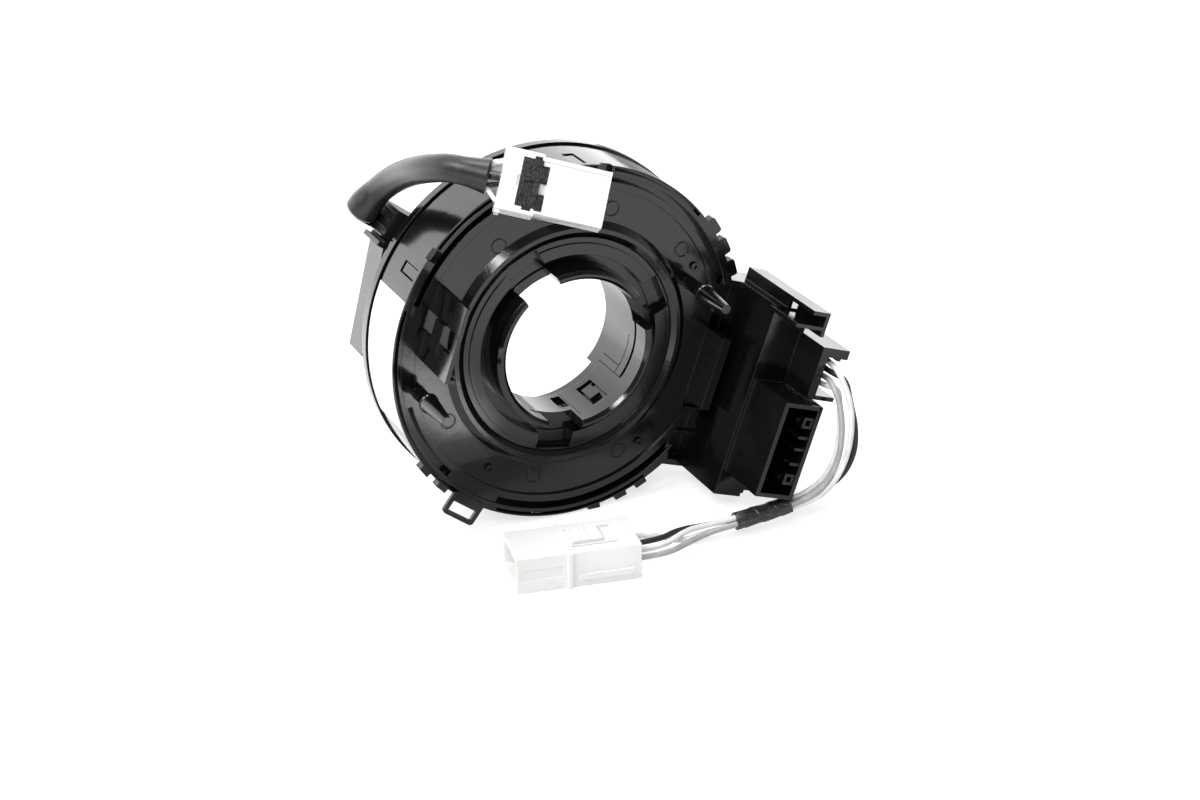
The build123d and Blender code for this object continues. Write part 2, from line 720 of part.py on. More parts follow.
# ---- Rotor hub: bore, tongue, cable spool and wheel disc ----
disc_top = cover_end - disc_gap
with BuildPart() as rotor_hub:
    with BuildSketch(section):
        with BuildLine():
            Polyline(
                (bore_r, hub_near_end - hub_chamfer),
                (bore_r + hub_chamfer, hub_near_end),
                (hub_tube_r - hub_chamfer, hub_near_end),
                (hub_tube_r, hub_near_end - hub_chamfer),
                (hub_tube_r, hub_web_end + hub_web),
                (spool_outer_r, hub_web_end + hub_web),
                (spool_outer_r, disc_top),
                (disc_r, disc_top),
                (disc_r, disc_top - disc_thickness),
                (spool_inner_r, disc_top - disc_thickness),
                (spool_inner_r, hub_web_end),
                (bore_r, hub_web_end),
                close=True,
            )
        make_face()
    revolve(axis=steering_axis)
    # Tongue panel that reaches on into the wheel
    with BuildSketch(section_at(tongue_from)) as tongue:
        with Locations((bore_r + tongue_wall / 2, (tongue_end + hub_web_end) / 2)):
            Rectangle(tongue_wall, hub_web_end - tongue_end)
    revolve(tongue.sketch, axis=steering_axis, revolution_arc=tongue_arc)
    # Drive notches cut the tube
    for angle in notch_angles:
        turned(bore_r - notch_run_out, notch_outer_r, angle, notch_width,
               notch_floor, hub_near_end, mode=Mode.SUBTRACT)
    # Pockets, seams and lines moulded in the bore, and the clip in its pocket
    for angle_from, angle_to, pocket_w0, pocket_w1 in bore_pockets:
        sector(bore_r - seat_gap, bore_r + bore_pocket_depth, pocket_w0, pocket_w1, angle_from, angle_to,
               mode=Mode.SUBTRACT)
    for angle_from, angle_to, seam_w0, seam_w1 in bore_seams + bore_lines:
        sector(bore_r - seat_gap, bore_r + bore_seam_depth, seam_w0, seam_w1, angle_from, angle_to,
               mode=Mode.SUBTRACT)
    clip_from, clip_to, clip_w0, clip_w1 = bore_clip
    sector(bore_r + bore_clip_depth, bore_r + bore_pocket_depth + seat_gap, clip_w0, clip_w1, clip_from, clip_to)
finish(rotor_hub, "rotor_hub")

# ---- Cancel cam: drives the turn-signal cancelling, with three notches ----
cam_outer_r = collar_inner_r - running_gap
with BuildPart() as cancel_cam:
    ring(hub_tube_r, cam_outer_r, cam_bottom, cam_bottom + cam_web)
    ring(cam_inner_r, cam_step_r, cam_bottom, cam_top)
    ring(cam_inner_r, cam_outer_r, cam_bottom, cam_top - cam_step)
    for angle in notch_angles:
        turned(cam_inner_r - notch_run_out, notch_outer_r, angle, notch_width,
               notch_floor, cam_top, mode=Mode.SUBTRACT)
finish(cancel_cam, "cancel_cam")


def gear_outline(teeth, phase):
    """Straight-sided gear teeth about the sketch's origin, the first one at the phase angle."""
    pitch_r = gear_module * teeth / 2
    root_r = pitch_r - gear_module * tooth_root
    tip_r = pitch_r + gear_module * tooth_top
    half_at_pitch = (math.pi * gear_module - gear_backlash) / 4
    slope = math.tan(math.radians(flank_angle))
    half_root = half_at_pitch + (pitch_r - root_r) * slope
    half_tip = half_at_pitch - (tip_r - pitch_r) * slope
    Circle(root_r)
    with PolarLocations(0, teeth, start_angle=phase):
        Polygon(
            (root_r - 0.3, -half_root),
            (tip_r, -half_tip),
            (tip_r, half_tip),
            (root_r - 0.3, half_root),
            align=None,
        )


# ---- Drive gear on the rotor ----
with BuildPart() as drive_gear:
    with BuildSketch(face.offset(gear_top - gear_thickness)):
        gear_outline(drive_teeth, 0.0)
        Circle(hub_tube_r, mode=Mode.SUBTRACT)
    extrude(amount=gear_thickness)
finish(drive_gear, "drive_gear")

# ---- Magnet gears and their magnets ----
for number, (teeth, angle) in enumerate(zip(magnet_teeth, magnet_angles), start=1):
    centre = polar(gear_module * (drive_teeth + teeth) / 2, angle)
    pitch_step = 360.0 / drive_teeth
    lead_in = (angle / pitch_step) % 1.0
    phase = angle + 180.0 + (lead_in + 0.5) * 360.0 / teeth
    with BuildPart() as magnet_gear:
        gear_plane = Plane(origin=place(*centre, gear_top - gear_thickness), x_dir=face.x_dir, z_dir=face.z_dir)
        with BuildSketch(gear_plane):
            gear_outline(teeth, phase)
            Circle(post_r + post_clearance, mode=Mode.SUBTRACT)
        extrude(amount=gear_thickness)
        with BuildSketch(gear_plane.offset(gear_thickness - magnet_height)):
            Circle(magnet_d / 2)
            Circle(post_r + post_clearance, mode=Mode.SUBTRACT)
        extrude(amount=magnet_height, mode=Mode.SUBTRACT)
    finish(magnet_gear, "magnet_gear_" + str(number))
    with BuildPart() as magnet:
        with BuildSketch(gear_plane.offset(gear_thickness - magnet_height)):
            Circle(magnet_d / 2)
            Circle(post_r + post_clearance, mode=Mode.SUBTRACT)
        extrude(amount=magnet_height)
    finish(magnet, "magnet_" + str(number))

# ---- Flat cable: a loose spiral between the spool and the drum ----
with BuildPart() as flat_cable:
    half_pitch = cable_pitch / 2
    with BuildSketch(face.offset(cover_end + cover_plate)):
        with BuildLine():
            for half_turn in range(cable_half_turns):
                side = -1 if half_turn % 2 == 0 else 1
                CenterArc(
                    (side * half_pitch / 2, 0),
                    cable_inner_r + half_turn * half_pitch,
                    0 if side < 0 else 180,
                    180,
                )
        trace(line_width=cable_thickness)
    extrude(amount=drum_floor_top - drum_floor - cable_side_gap - cover_end - cover_plate)
finish(flat_cable, "flat_cable")

# ---- Sensor board over the magnet gears, with its chips ----
board_top = arm_floor_top - arm_floor - board_boss_height
board_back = board_top - board_thickness
with BuildPart() as sensor_board:
    slab(board_u0, block_u1 - wall - board_edge_gap, -board_half_width, board_half_width, board_back, board_top)
    slab(block_u0 + wall + board_edge_gap, block_u1 - wall - board_edge_gap,
         block_v0 + wall + board_edge_gap, block_v1 - wall - board_edge_gap, board_back, board_top)
finish(sensor_board, "sensor_board")

with BuildPart() as board_chips:
    for teeth, angle in zip(magnet_teeth, magnet_angles):
        chip_u, chip_v = polar(gear_module * (drive_teeth + teeth) / 2, angle)
        slab(chip_u - chip_size / 2, chip_u + chip_size / 2, chip_v - chip_size / 2, chip_v + chip_size / 2,
             board_back - chip_height, board_back)
finish(board_chips, "board_chips")

# ---- Contacts that stand in the lower socket ----
with BuildPart() as socket_pins:
    pin_middle_u = (socket_u0 + socket_u1) / 2 - contact_offset
    first_pin_v = (socket_v0 + socket_v1) / 2 - contact_pitch * (contact_count - 1) / 2
    for contact in range(contact_count):
        contact_v = first_pin_v + contact * contact_pitch
        slab(pin_middle_u - contact_width / 2, pin_middle_u + contact_width / 2,
             contact_v - contact_width / 2, contact_v + contact_width / 2,
             socket_floor_top, socket_floor_top + contact_height)
finish(socket_pins, "socket_pins")

# ---- Rivets that hold the face ----
with BuildPart() as case_rivets:
    for rivet_r, angle in rivet_places:
        rivet_u, rivet_v = polar(rivet_r, angle)
        post(rivet_u, rivet_v, rivet_d / 2, face_top, face_top + rivet_height)
        post(rivet_u, rivet_v, rivet_bore_d / 2, face_top + rivet_height / 3, face_top + rivet_height,
             mode=Mode.SUBTRACT)
finish(case_rivets, "case_rivets")

# ---- Label, wrapped on the drum wall ----
with BuildPart() as label:
    with BuildSketch(section_at(label_from)) as label_section:
        with Locations((rim_outer_r + label_thickness / 2, (label_near + label_far) / 2)):
            Rectangle(label_thickness, label_near - label_far)
    revolve(label_section.sketch, axis=steering_axis, revolution_arc=label_to - label_from)
finish(label, "label")

# ---- Plug of the lead, in the upper socket ----
plug_u0 = plug_room_u0 + plug_clearance
plug_u1 = plug_room_u1 - plug_clearance
plug_v0 = plug_room_v0 + plug_clearance
plug_v1 = plug_room_v1 - plug_clearance
with BuildPart() as lead_plug:
    slab(plug_u0, plug_u1, plug_v0, plug_v1, plug_socket_bottom + wall, plug_top)
    for slot in range(wire_count):
        slot_pitch = (plug_v1 - plug_v0) / wire_count
        slot_v = plug_v0 + (slot + 0.5) * slot_pitch
        slab(plug_u1 - plug_slot, plug_u1, slot_v - slot_pitch / 3, slot_v + slot_pitch / 3,
             plug_top - plug_slot_depth, plug_top, mode=Mode.SUBTRACT)
finish(lead_plug, "lead_plug")

# ---- Lead: four wires from the plug, through the tape, to the connector on the floor ----
fan_order = [0, 3, 1, 2]
for wire in range(wire_count):
    bundle = beside(lead_route, lead_spread, 45.0 + 360.0 / wire_count * wire, lead_twist)
    joined_v = Vector(*bundle[1]).X * roll_sin + Vector(*bundle[1]).Z * roll_cos
    route = []
    for rise, share in plug_row_steps:
        row_v = plug_row_v[wire] + (joined_v - plug_row_v[wire]) * share
        route.append(place(plug_row_u, row_v, plug_top + rise))
    route.extend(bundle[1:])
    across_box = (fan_order.index(wire) - (wire_count - 1) / 2) * lead_fan_pitch
    for out in (lead_fan_length, 0.0):
        route.append(tuple(lead_base.from_local_coords((-out, across_box, lead_entry_height))))
    lead_wire = tube(route, wire_d, "lead_wire_" + str(wire + 1))
    finish(lead_wire, "lead_wire_" + str(wire + 1))

with BuildPart() as tape_wrap:
    taped = lead_route[taped_points]
    with BuildLine() as tape_path:
        FilletPolyline(*taped, radius=bend_radii(taped))
    tape_start = Vector(*taped[0])
    with BuildSketch(Plane(origin=tape_start, z_dir=Vector(*taped[1]) - tape_start)):
        Circle(tape_d / 2)
        Circle(tape_bore_d / 2, mode=Mode.SUBTRACT)
    sweep(path=tape_path.line)
finish(tape_wrap, "tape_wrap")

# ---- Connector on the standing surface, and its lock lever ----
with BuildPart() as lead_connector:
    block(lead_base, 0, lead_box_length, -lead_box_width / 2, lead_box_width / 2, 0, lead_box_height)
    fillet(lead_connector.edges().filter_by(Axis.Z), box_edge)
    block(lead_base, lead_box_length - cavity_depth, lead_box_length,
          -lead_box_width / 2 + wall, lead_box_width / 2 - wall, wall, lead_box_height - wall,
          mode=Mode.SUBTRACT)
    block(lead_base, lead_flange_from, lead_flange_from + lead_flange, -lead_box_width / 2 - lead_flange_rise,
          lead_box_width / 2 + lead_flange_rise, 0, lead_box_height)
finish(lead_connector, "lead_connector")

with BuildPart() as lead_lock:
    block(lead_base, lead_lock_from, lead_lock_from + lead_lock_length,
          -lead_lock_width / 2, lead_lock_width / 2, lead_box_height, lead_box_height + lead_lock_height)
finish(lead_lock, "lead_lock")

# ---- Wheel-side connector housing with the pigtail's outlet ----
wheel_face = Plane(origin=(0, 0, 0), x_dir=place(*polar(1.0, wheel_turn), 0), z_dir=face.z_dir)
outlet_face = Plane(origin=(0, 0, 0), x_dir=place(*polar(1.0, outlet_turn), 0), z_dir=face.z_dir)
disc_back = disc_top - disc_thickness
sleeve_start = Vector(*sleeve_route[0])
sleeve_heading = (Vector(*sleeve_route[1]) - sleeve_start).normalized()
with BuildPart() as wheel_connector:
    block(wheel_face, wheel_box_u0, wheel_box_u1, wheel_box_v0, wheel_box_v1, wheel_box_end, disc_back)
    block(wheel_face, wheel_box_u0 + wall, wheel_box_u1 - wall, wheel_box_v0 + wall, wheel_box_v1 - wall,
          wheel_box_end, disc_back - wheel_box_floor, mode=Mode.SUBTRACT)
    block(outlet_face, outlet_u0, outlet_u1, outlet_v0, outlet_v1, outlet_end, disc_back)
    for rib in range(outlet_ribs):
        rib_v = outlet_v0 + rib * outlet_rib_pitch
        block(outlet_face, outlet_u0 - outlet_rib, outlet_u1, rib_v, rib_v + outlet_rib, outlet_end, disc_back)
    block(outlet_face, outlet_u0, outlet_u1, outlet_lug_v, outlet_lug_v + outlet_lug, outlet_end + wall, disc_back)
    # Elbow that carries the sleeve's collar beside the outlet
    collar_base = outlet_face.to_local_coords(sleeve_start - sleeve_heading * collar_length)
    block(outlet_face, collar_base.X, outlet_u0, collar_base.Y - elbow_width / 2, collar_base.Y + elbow_width / 2,
          outlet_end, outlet_end + elbow_depth)
    with BuildSketch(Plane(origin=sleeve_start - sleeve_heading * collar_length, z_dir=sleeve_heading)):
        Circle(collar_d / 2)
    extrude(amount=collar_length)
finish(wheel_connector, "wheel_connector")

with BuildPart() as wheel_pins:
    pin_middle_u = (wheel_box_u0 + wheel_box_u1) / 2
    first_pin_v = (wheel_box_v0 + wheel_box_v1) / 2 - wheel_pin_pitch * (wheel_pin_count - 1) / 2
    for pin in range(wheel_pin_count):
        pin_v = first_pin_v + pin * wheel_pin_pitch
        block(wheel_face, pin_middle_u - wheel_pin_width / 2, pin_middle_u + wheel_pin_width / 2,
              pin_v - wheel_pin_width / 2, pin_v + wheel_pin_width / 2,
              disc_back - wheel_box_floor - wheel_pin_height, disc_back - wheel_box_floor)
finish(wheel_pins, "wheel_pins")

# ---- Pigtail: sleeve, wires and connector ----
pigtail_sleeve = tube(sleeve_route, sleeve_d, "pigtail_sleeve")
finish(pigtail_sleeve, "pigtail_sleeve")

for wire in range(pigtail_wires):
    side = (wire - (pigtail_wires - 1) / 2) * pigtail_wire_pitch
    route = [
        tuple(pigtail_base.from_local_coords((-sleeve_gap, side, 0))),
        tuple(pigtail_base.from_local_coords((-sleeve_gap + pigtail_wire_run, side, 0))),
        tuple(pigtail_base.from_local_coords((-pigtail_wire_run, side * pigtail_fan, 0))),
        tuple(pigtail_base.from_local_coords((0, side * pigtail_fan, 0))),
    ]
    if side == 0:
        route = [route[0], route[-1]]
    pigtail_wire = tube(route, pigtail_wire_d, "pigtail_wire_" + str(wire + 1))
    finish(pigtail_wire, "pigtail_wire_" + str(wire + 1))

with BuildPart() as pigtail_connector:
    half_thickness = pigtail_thickness / 2
    block(pigtail_base, 0, pigtail_head_length, -pigtail_head_width / 2, pigtail_head_width / 2,
          -half_thickness, half_thickness)
    block(pigtail_base, 0, pigtail_length, -pigtail_width / 2, pigtail_width / 2,
          -half_thickness, half_thickness)
    block(pigtail_base, pigtail_length - cavity_depth, pigtail_length,
          -pigtail_width / 2 + pigtail_shell, pigtail_width / 2 - pigtail_shell,
          -half_thickness + pigtail_shell, half_thickness - pigtail_shell, mode=Mode.SUBTRACT)
    block(pigtail_base, retainer_from, retainer_from + retainer_length,
          -retainer_width / 2, retainer_width / 2, half_thickness - retainer_seat, half_thickness,
          mode=Mode.SUBTRACT)
finish(pigtail_connector, "pigtail_connector")

with BuildPart() as pigtail_retainer:
    block(pigtail_base, retainer_from, retainer_from + retainer_length,
          -retainer_width / 2, retainer_width / 2, half_thickness - retainer_seat, half_thickness + retainer_rise)
finish(pigtail_retainer, "pigtail_retainer")
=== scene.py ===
# %% [markdown]
# # A steering clock spring
#
# This unit sits behind a steering wheel. A flat cable is wound inside its drum, so that the
# wheel can turn while its switches stay wired. The exact solids come from the frame. What is
# made here is what a solid modeller leaves out: wires that hang, a soft sleeve, wrapped tape,
# finely moulded connectors, and the finish of every surface.

# %% Load the frame
import math

import bmesh
import bpy
from mathutils import Matrix, Vector


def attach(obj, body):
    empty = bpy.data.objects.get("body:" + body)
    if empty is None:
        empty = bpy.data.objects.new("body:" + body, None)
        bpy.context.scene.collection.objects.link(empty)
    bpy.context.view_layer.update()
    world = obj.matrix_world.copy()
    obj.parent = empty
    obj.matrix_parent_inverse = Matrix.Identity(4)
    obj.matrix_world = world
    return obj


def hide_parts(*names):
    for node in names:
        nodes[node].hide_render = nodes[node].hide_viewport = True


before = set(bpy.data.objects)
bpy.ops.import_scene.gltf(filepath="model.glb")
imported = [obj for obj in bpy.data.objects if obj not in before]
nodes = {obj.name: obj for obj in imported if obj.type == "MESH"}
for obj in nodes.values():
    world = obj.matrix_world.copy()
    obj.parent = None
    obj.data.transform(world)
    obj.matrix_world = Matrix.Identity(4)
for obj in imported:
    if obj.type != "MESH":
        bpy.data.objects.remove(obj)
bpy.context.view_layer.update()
MM = 0.001
print("nodes in the frame:", len(nodes))


def scene_object(name, data):
    """A new object of the scene that shows this data."""
    made = bpy.data.objects.new(name, data)
    bpy.context.scene.collection.objects.link(made)
    return made


def length_of(points):
    """The length of a line of points, in the unit of the points."""
    return sum((second - first).length for first, second in zip(points, points[1:]))


# %% [markdown]
# ## The camera
#
# A long lens from a little above and to the left shows the face, the bore and the edge of
# the drum together. The camera is placed by its three axes, which are the columns of its
# rotation.

# %% Camera
LENS, SENSOR = 66.0, 36.0
CAMERA_PLACE = Vector((-244.09, -524.62, 252.76))
camera_data = bpy.data.cameras.new("camera")
camera_data.lens = LENS
camera_data.sensor_width = SENSOR
camera_data.clip_start = 0.05
camera = scene_object("camera", camera_data)
camera_right = Vector((0.9003, -0.4352, 0.0017)).normalized()
camera_back = Vector((-0.3950, -0.8155, 0.4231)).normalized()
camera_up = camera_back.cross(camera_right).normalized()
camera_right = camera_up.cross(camera_back)
turn = Matrix((camera_right, camera_up, camera_back)).transposed().to_4x4()
camera.matrix_world = Matrix.Translation(CAMERA_PLACE * MM) @ turn
bpy.context.scene.camera = camera
print("camera at", [round(x, 3) for x in camera.matrix_world.translation])

# %% [markdown]
# ## The lead's four wires
#
# Each wire is a NURBS curve with a round bevel. A curve keeps a wire's thickness exact along
# every bend, and a few control points are enough for a line that is smooth all the way. The
# four routes run beside one middle route and twist slowly around it. They start in a row in
# the plug, so their first points rise from that row and close up into the bundle.

# %% Middle route of the lead
UNIT_ROLL = math.radians(18.6)
STANDING_Z = -54.6
WIRE_D = 1.7
PLUG_TOP = 22.0
ROW_U, ROW_V = 67.7, [13.6, 8.6, 11.1, 16.1]
# Height above the plug, and how far a wire has then moved from its row to its bundle.
ROW_STEPS = [(0.0, 0.0), (5.0, 0.0), (10.2, 0.45)]


def unit_place(u, v, w):
    """A point of the rolled unit: u to its right, v up and w out of its face, in millimetres."""
    return Vector((
        math.cos(UNIT_ROLL) * u + math.sin(UNIT_ROLL) * v,
        -w,
        -math.sin(UNIT_ROLL) * u + math.cos(UNIT_ROLL) * v,
    ))


lead_route = [
    (68.3, -31.4, -9.5),
    (68.4, -37.0, -9.6),
    (68.0, -41.6, -14.5),
    (68.0, -43.2, -23.0),
    (67.0, -43.0, -31.5),
    (64.6, -41.2, -39.0),
    (60.8, -38.0, -44.2),
    (55.3, -34.8, -47.4),
    (46.6, -33.8, -49.0),
    (37.3, -33.4, -50.0),
    (28.5, -32.4, -50.8),
    (20.0, -34.0, -50.4),
]
lead_spread = [2.5, 2.5, 2.2, 2.2, 2.1, 1.9, 1.5, 1.22, 1.22, 1.22, 1.6, 2.6]
lead_turn = math.radians(-10.2)
lead_long = Vector((-math.cos(lead_turn), -math.sin(lead_turn), 0))
lead_side = Vector((0, 0, 1)).cross(lead_long)
lead_end = Vector((3.4, -35.6, STANDING_Z))
print("points of the middle route:", len(lead_route))

# %% Curves beside a route


def beside(route, spreads, start_angle, twist):
    """A route beside another one, at a spread and an angle that twist along it."""
    points = [Vector(point) for point in route]
    result = []
    for index, point in enumerate(points):
        if index < 2:
            along = (points[1] - points[0]).normalized()
        else:
            along = (points[min(index + 1, len(points) - 1)] - points[index - 1]).normalized()
        across = along.cross(Vector((1, 1, -1))).normalized()
        upright = across.cross(along)
        angle = math.radians(start_angle + twist * max(index - 1, 0))
        offset = across * math.cos(angle) + upright * math.sin(angle)
        result.append(point + offset * spreads[index])
    return result


def nurbs(name, points, thickness=0.0):
    """A smooth open curve with these control points, in millimetres."""
    data = bpy.data.curves.new(name, "CURVE")
    data.dimensions = "3D"
    spline = data.splines.new("NURBS")
    spline.points.add(len(points) - 1)
    for spot, point in zip(spline.points, points):
        spot.co = (*(Vector(point) * MM), 1.0)
    spline.order_u = 3
    spline.use_endpoint_u = True
    spline.resolution_u = 12
    data.bevel_depth = thickness / 2 * MM
    data.bevel_resolution = 5
    data.use_fill_caps = thickness > 0
    return scene_object(name, data)


# %% [markdown]
# The wires fan out again to the four holes of their connector. The dark wire, which is number
# 0, bulges past the others where the lead turns down, and its neighbour gives way to it.

# %% Four wires
WIRES = 4
FIRST_ANGLE, TWIST = 45.0, 12.0
HOLE_PITCH, HOLE_Z, STRAIGHT = 4.2, 5.4, 8.0
hole_y = [(place - (WIRES - 1) / 2) * HOLE_PITCH for place in range(WIRES)]
hole_of_wire = [1, 2, 3, 0]
stands_for = [3, 1, 2, 4]
bulges = {
    0: {3: (1.9, 0.6, 0.6), 4: (3.6, 0.8, 0.0), 5: (3.2, 0.8, -0.8)},
    3: {3: (-0.6, -0.2, 0.0), 4: (-1.2, -0.3, 0.0), 5: (-1.4, -0.3, 0.3)},
}
lead_wires = []
for number in range(WIRES):
    bundle = beside(lead_route, lead_spread, FIRST_ANGLE + 360.0 / WIRES * number, TWIST)
    for index, offset in bulges.get(number, {}).items():
        bundle[index] += Vector(offset)
    row_v = ROW_V[number]
    joined_v = bundle[1].x * math.sin(UNIT_ROLL) + bundle[1].z * math.cos(UNIT_ROLL)
    route = [unit_place(ROW_U, row_v + (joined_v - row_v) * share, PLUG_TOP + rise)
             for rise, share in ROW_STEPS]
    route += bundle[1:]
    hole = lead_end + lead_side * hole_y[hole_of_wire[number]] + Vector((0, 0, HOLE_Z))
    route += [hole - lead_long * STRAIGHT, hole]
    lead_wires.append(nurbs(f"wire_{stands_for[number]}", route, WIRE_D))
print("lead wires:", [wire.name for wire in lead_wires])

# %% [markdown]
# ## The tape and the sleeve
#
# Both are tubes whose thickness changes along their length, so they are swept as meshes. The
# sweep reads its points from a NURBS curve, and turns each ring only as much as the line
# turns, which keeps the tube from twisting.

# %% Sweep a tube along a curve
TILT_FROM, BORE_SHARE = 0.8, 0.86


def line_points(points):
    """Points along the smooth curve of a route, in millimetres."""
    curve = nurbs("guide", points)
    evaluated = curve.evaluated_get(bpy.context.evaluated_depsgraph_get())
    mesh = bpy.data.meshes.new_from_object(evaluated)
    found = [vertex.co / MM for vertex in mesh.vertices]
    bpy.data.objects.remove(curve)
    bpy.data.meshes.remove(mesh)
    return found


def swept(name, path, radius_at, sides, tilt=0.0, bore=0.0):
    """A closed tube along a path: radius_at(share, angle) is in millimetres. The far end is cut
    at a tilt, and a bore deeper than zero opens it."""
    total = length_of(path)
    shell = bmesh.new()
    side = Vector((0, 0, 1))
    walked, frames = 0.0, []
    for index, point in enumerate(path):
        ahead = (path[min(index + 1, len(path) - 1)] - path[max(index - 1, 0)]).normalized()
        side = (side - ahead * side.dot(ahead)).normalized()
        if index:
            walked += (point - path[index - 1]).length
        frames.append((point, ahead, side, ahead.cross(side), walked / total))

    def ring(point, ahead, side, up, share, scale=1.0):
        """The corners of the tube's outline around one point of its path."""
        corners = []
        for step in range(sides):
            angle = 2 * math.pi * step / sides
            outward = side * math.cos(angle) + up * math.sin(angle)
            away = outward * radius_at(share, angle) * scale
            lean = max(0.0, share - TILT_FROM) / (1 - TILT_FROM) * tilt * away.dot(side)
            corners.append(shell.verts.new((point + away + ahead * lean) * MM))
        return corners

    rings = [ring(*spot) for spot in frames]
    if bore > 0:
        rings += [ring(*spot, scale=BORE_SHARE) for spot in reversed(frames)
                  if (1 - spot[-1]) * total <= bore]
    for first, second in zip(rings, rings[1:]):
        for step in range(sides):
            following = (step + 1) % sides
            shell.faces.new((first[step], first[following], second[following], second[step]))
    shell.faces.new(list(reversed(rings[0])))
    shell.faces.new(rings[-1])
    bmesh.ops.recalc_face_normals(shell, faces=shell.faces[:])
    for face in shell.faces:
        face.smooth = len(face.verts) == 4
    return mesh_object(name, shell)


def mesh_object(name, shell):
    """An object at the origin from an edited mesh."""
    mesh = bpy.data.meshes.new(name)
    shell.to_mesh(mesh)
    shell.free()
    return scene_object(name, mesh)


# %% [markdown]
# The sleeve is drawn over a collar behind the drum, arches over the drum, and ends just short
# of the white connector. Its end has opened out a little, and it is cut at a slant.

# %% Sleeve
SLEEVE_D, SLEEVE_GAP, SLEEVE_STRAIGHT = 7.8, 3.3, 5.4
FLARE_FROM, FLARE = 0.84, 1.1
COLLAR_TO, COLLAR_FADE, COLLAR = 0.16, 0.1, 0.85
LIP_TO, LIP, SQUEEZE = 0.012, 0.5, 0.12
pigtail_end = Vector((-23.9, -8.0, 56.4))
pigtail_normal = Vector((-0.274, -0.84, 0.468)).normalized()
pigtail_long = Vector((0.878, -0.417, -0.235))
pigtail_long = (pigtail_long - pigtail_normal * pigtail_long.dot(pigtail_normal)).normalized()
pigtail_side = pigtail_normal.cross(pigtail_long)
sleeve_route = [
    (-48.9, 35.4, 36.3),
    (-47.4, 34.4, 38.8),
    (-44.6, 32.5, 42.8),
    (-42.3, 28.5, 46.6),
    (-41.0, 24.0, 49.5),
    (-40.2, 19.3, 51.9),
    (-39.6, 14.5, 54.0),
    (-38.8, 9.6, 55.9),
    (-37.3, 4.8, 57.5),
    (-35.0, 0.0, 58.7),
    pigtail_end - pigtail_long * (SLEEVE_GAP + SLEEVE_STRAIGHT),
    pigtail_end - pigtail_long * SLEEVE_GAP,
]
sleeve_path = line_points(sleeve_route)


def sleeve_radius(share, angle):
    """The sleeve's radius: wide over the collar, flattened in its bends, flared at its end."""
    over_collar = min(1.0, max(0.0, (COLLAR_TO - share) / COLLAR_FADE)) * COLLAR
    rounded_lip = max(0.0, 1.0 - share / LIP_TO) * LIP
    squeeze = SQUEEZE * math.cos(2 * angle) * math.sin(math.pi * share)
    flare = max(0.0, (share - FLARE_FROM) / (1 - FLARE_FROM)) ** 2 * FLARE
    return SLEEVE_D / 2 + over_collar - rounded_lip + squeeze + flare


sleeve = swept("sleeve", sleeve_path, sleeve_radius, sides=48, tilt=0.04, bore=7.0)
print("sleeve length in mm:", round(length_of(sleeve_path), 1))

# %% [markdown]
# The tape is wound as a spiral, so each turn ends in a low step that climbs round the bundle.

# %% Tape
TAPE_D, TAPE_TURNS = 5.5, 3.0
TAPE_SINK, TAPE_CLIMB, TAPE_WAVE = 0.22, 0.2, 0.05
TAPE_FIRST, TAPE_LAST, TAPE_FINER = 7, 9, 4
lead_line = line_points(lead_route)


def nearest(points, target):
    """The index of the point of a line that is nearest to a target."""
    return min(range(len(points)), key=lambda index: (points[index] - Vector(target)).length)


def tape_radius(share, angle):
    """The radius of wound tape: it climbs by one thickness over each turn and then drops."""
    climb = (share * TAPE_TURNS - angle / (2 * math.pi)) % 1.0
    wave = math.sin(3 * angle + 9 * share)
    return TAPE_D / 2 - TAPE_SINK + TAPE_CLIMB * climb + TAPE_WAVE * wave


start, end = (nearest(lead_line, lead_route[index]) for index in (TAPE_FIRST, TAPE_LAST))
tape_path = []
for first, second in zip(lead_line[start:end], lead_line[start + 1:end + 1]):
    tape_path += [first.lerp(second, step / TAPE_FINER) for step in range(TAPE_FINER)]
tape_path.append(lead_line[end])
tape = swept("tape", tape_path, tape_radius, sides=40)
print("tape points:", len(tape_path))

# %% [markdown]
# Between the sleeve and the connector the wires show. They bulge outwards a little, because
# they are slightly longer than the gap. The plan gives each wire's place across the sleeve,
# its place across the connector, its bulge and its thickness.

# %% Wires in the gap
GAP_INSIDE = 3.0
gap_plan = [
    (-2.6, -1.4, 0.4, 1.5),
    (-0.2, 0.0, 1.5, 1.5),
    (2.0, 2.2, 0.8, 1.5),
    (-3.2, -6.4, 2.2, 1.2),
    (3.4, 4.6, 1.6, 1.7),
]


def gap_place(back, across, out):
    """A point of the gap: back from the connector, across it and out of its face."""
    return pigtail_end - pigtail_long * back + pigtail_side * across + pigtail_normal * out


gap_wires = []
for number, (start, end, bulge, size) in enumerate(gap_plan, start=1):
    path = line_points([
        gap_place(SLEEVE_GAP + GAP_INSIDE, start * 0.7, 0.0),
        gap_place(SLEEVE_GAP, start, bulge * 0.6),
        gap_place(SLEEVE_GAP / 2, (start + end) / 2, bulge),
        gap_place(0.0, end, bulge * 0.7),
    ])
    wire = swept(f"gap_wire_{number}", path, lambda share, angle, size=size: size / 2, sides=16)
    gap_wires.append(wire)
print("wires in the gap:", len(gap_wires))

# %% [markdown]
# ## Moulded pieces
#
# The white connectors have steps, ribs and recesses that catch the light. Each is built from
# boxes in its own frame: the boxes are joined, the hollows are cut by a Boolean modifier, and
# a Bevel modifier rounds the edges as a mould does. The finished mesh keeps no modifier.

# %% Boxes, cuts and rounded edges
BOX_FACES = ((0, 2, 3, 1), (4, 5, 7, 6), (0, 1, 5, 4), (2, 6, 7, 3), (0, 4, 6, 2), (1, 3, 7, 5))


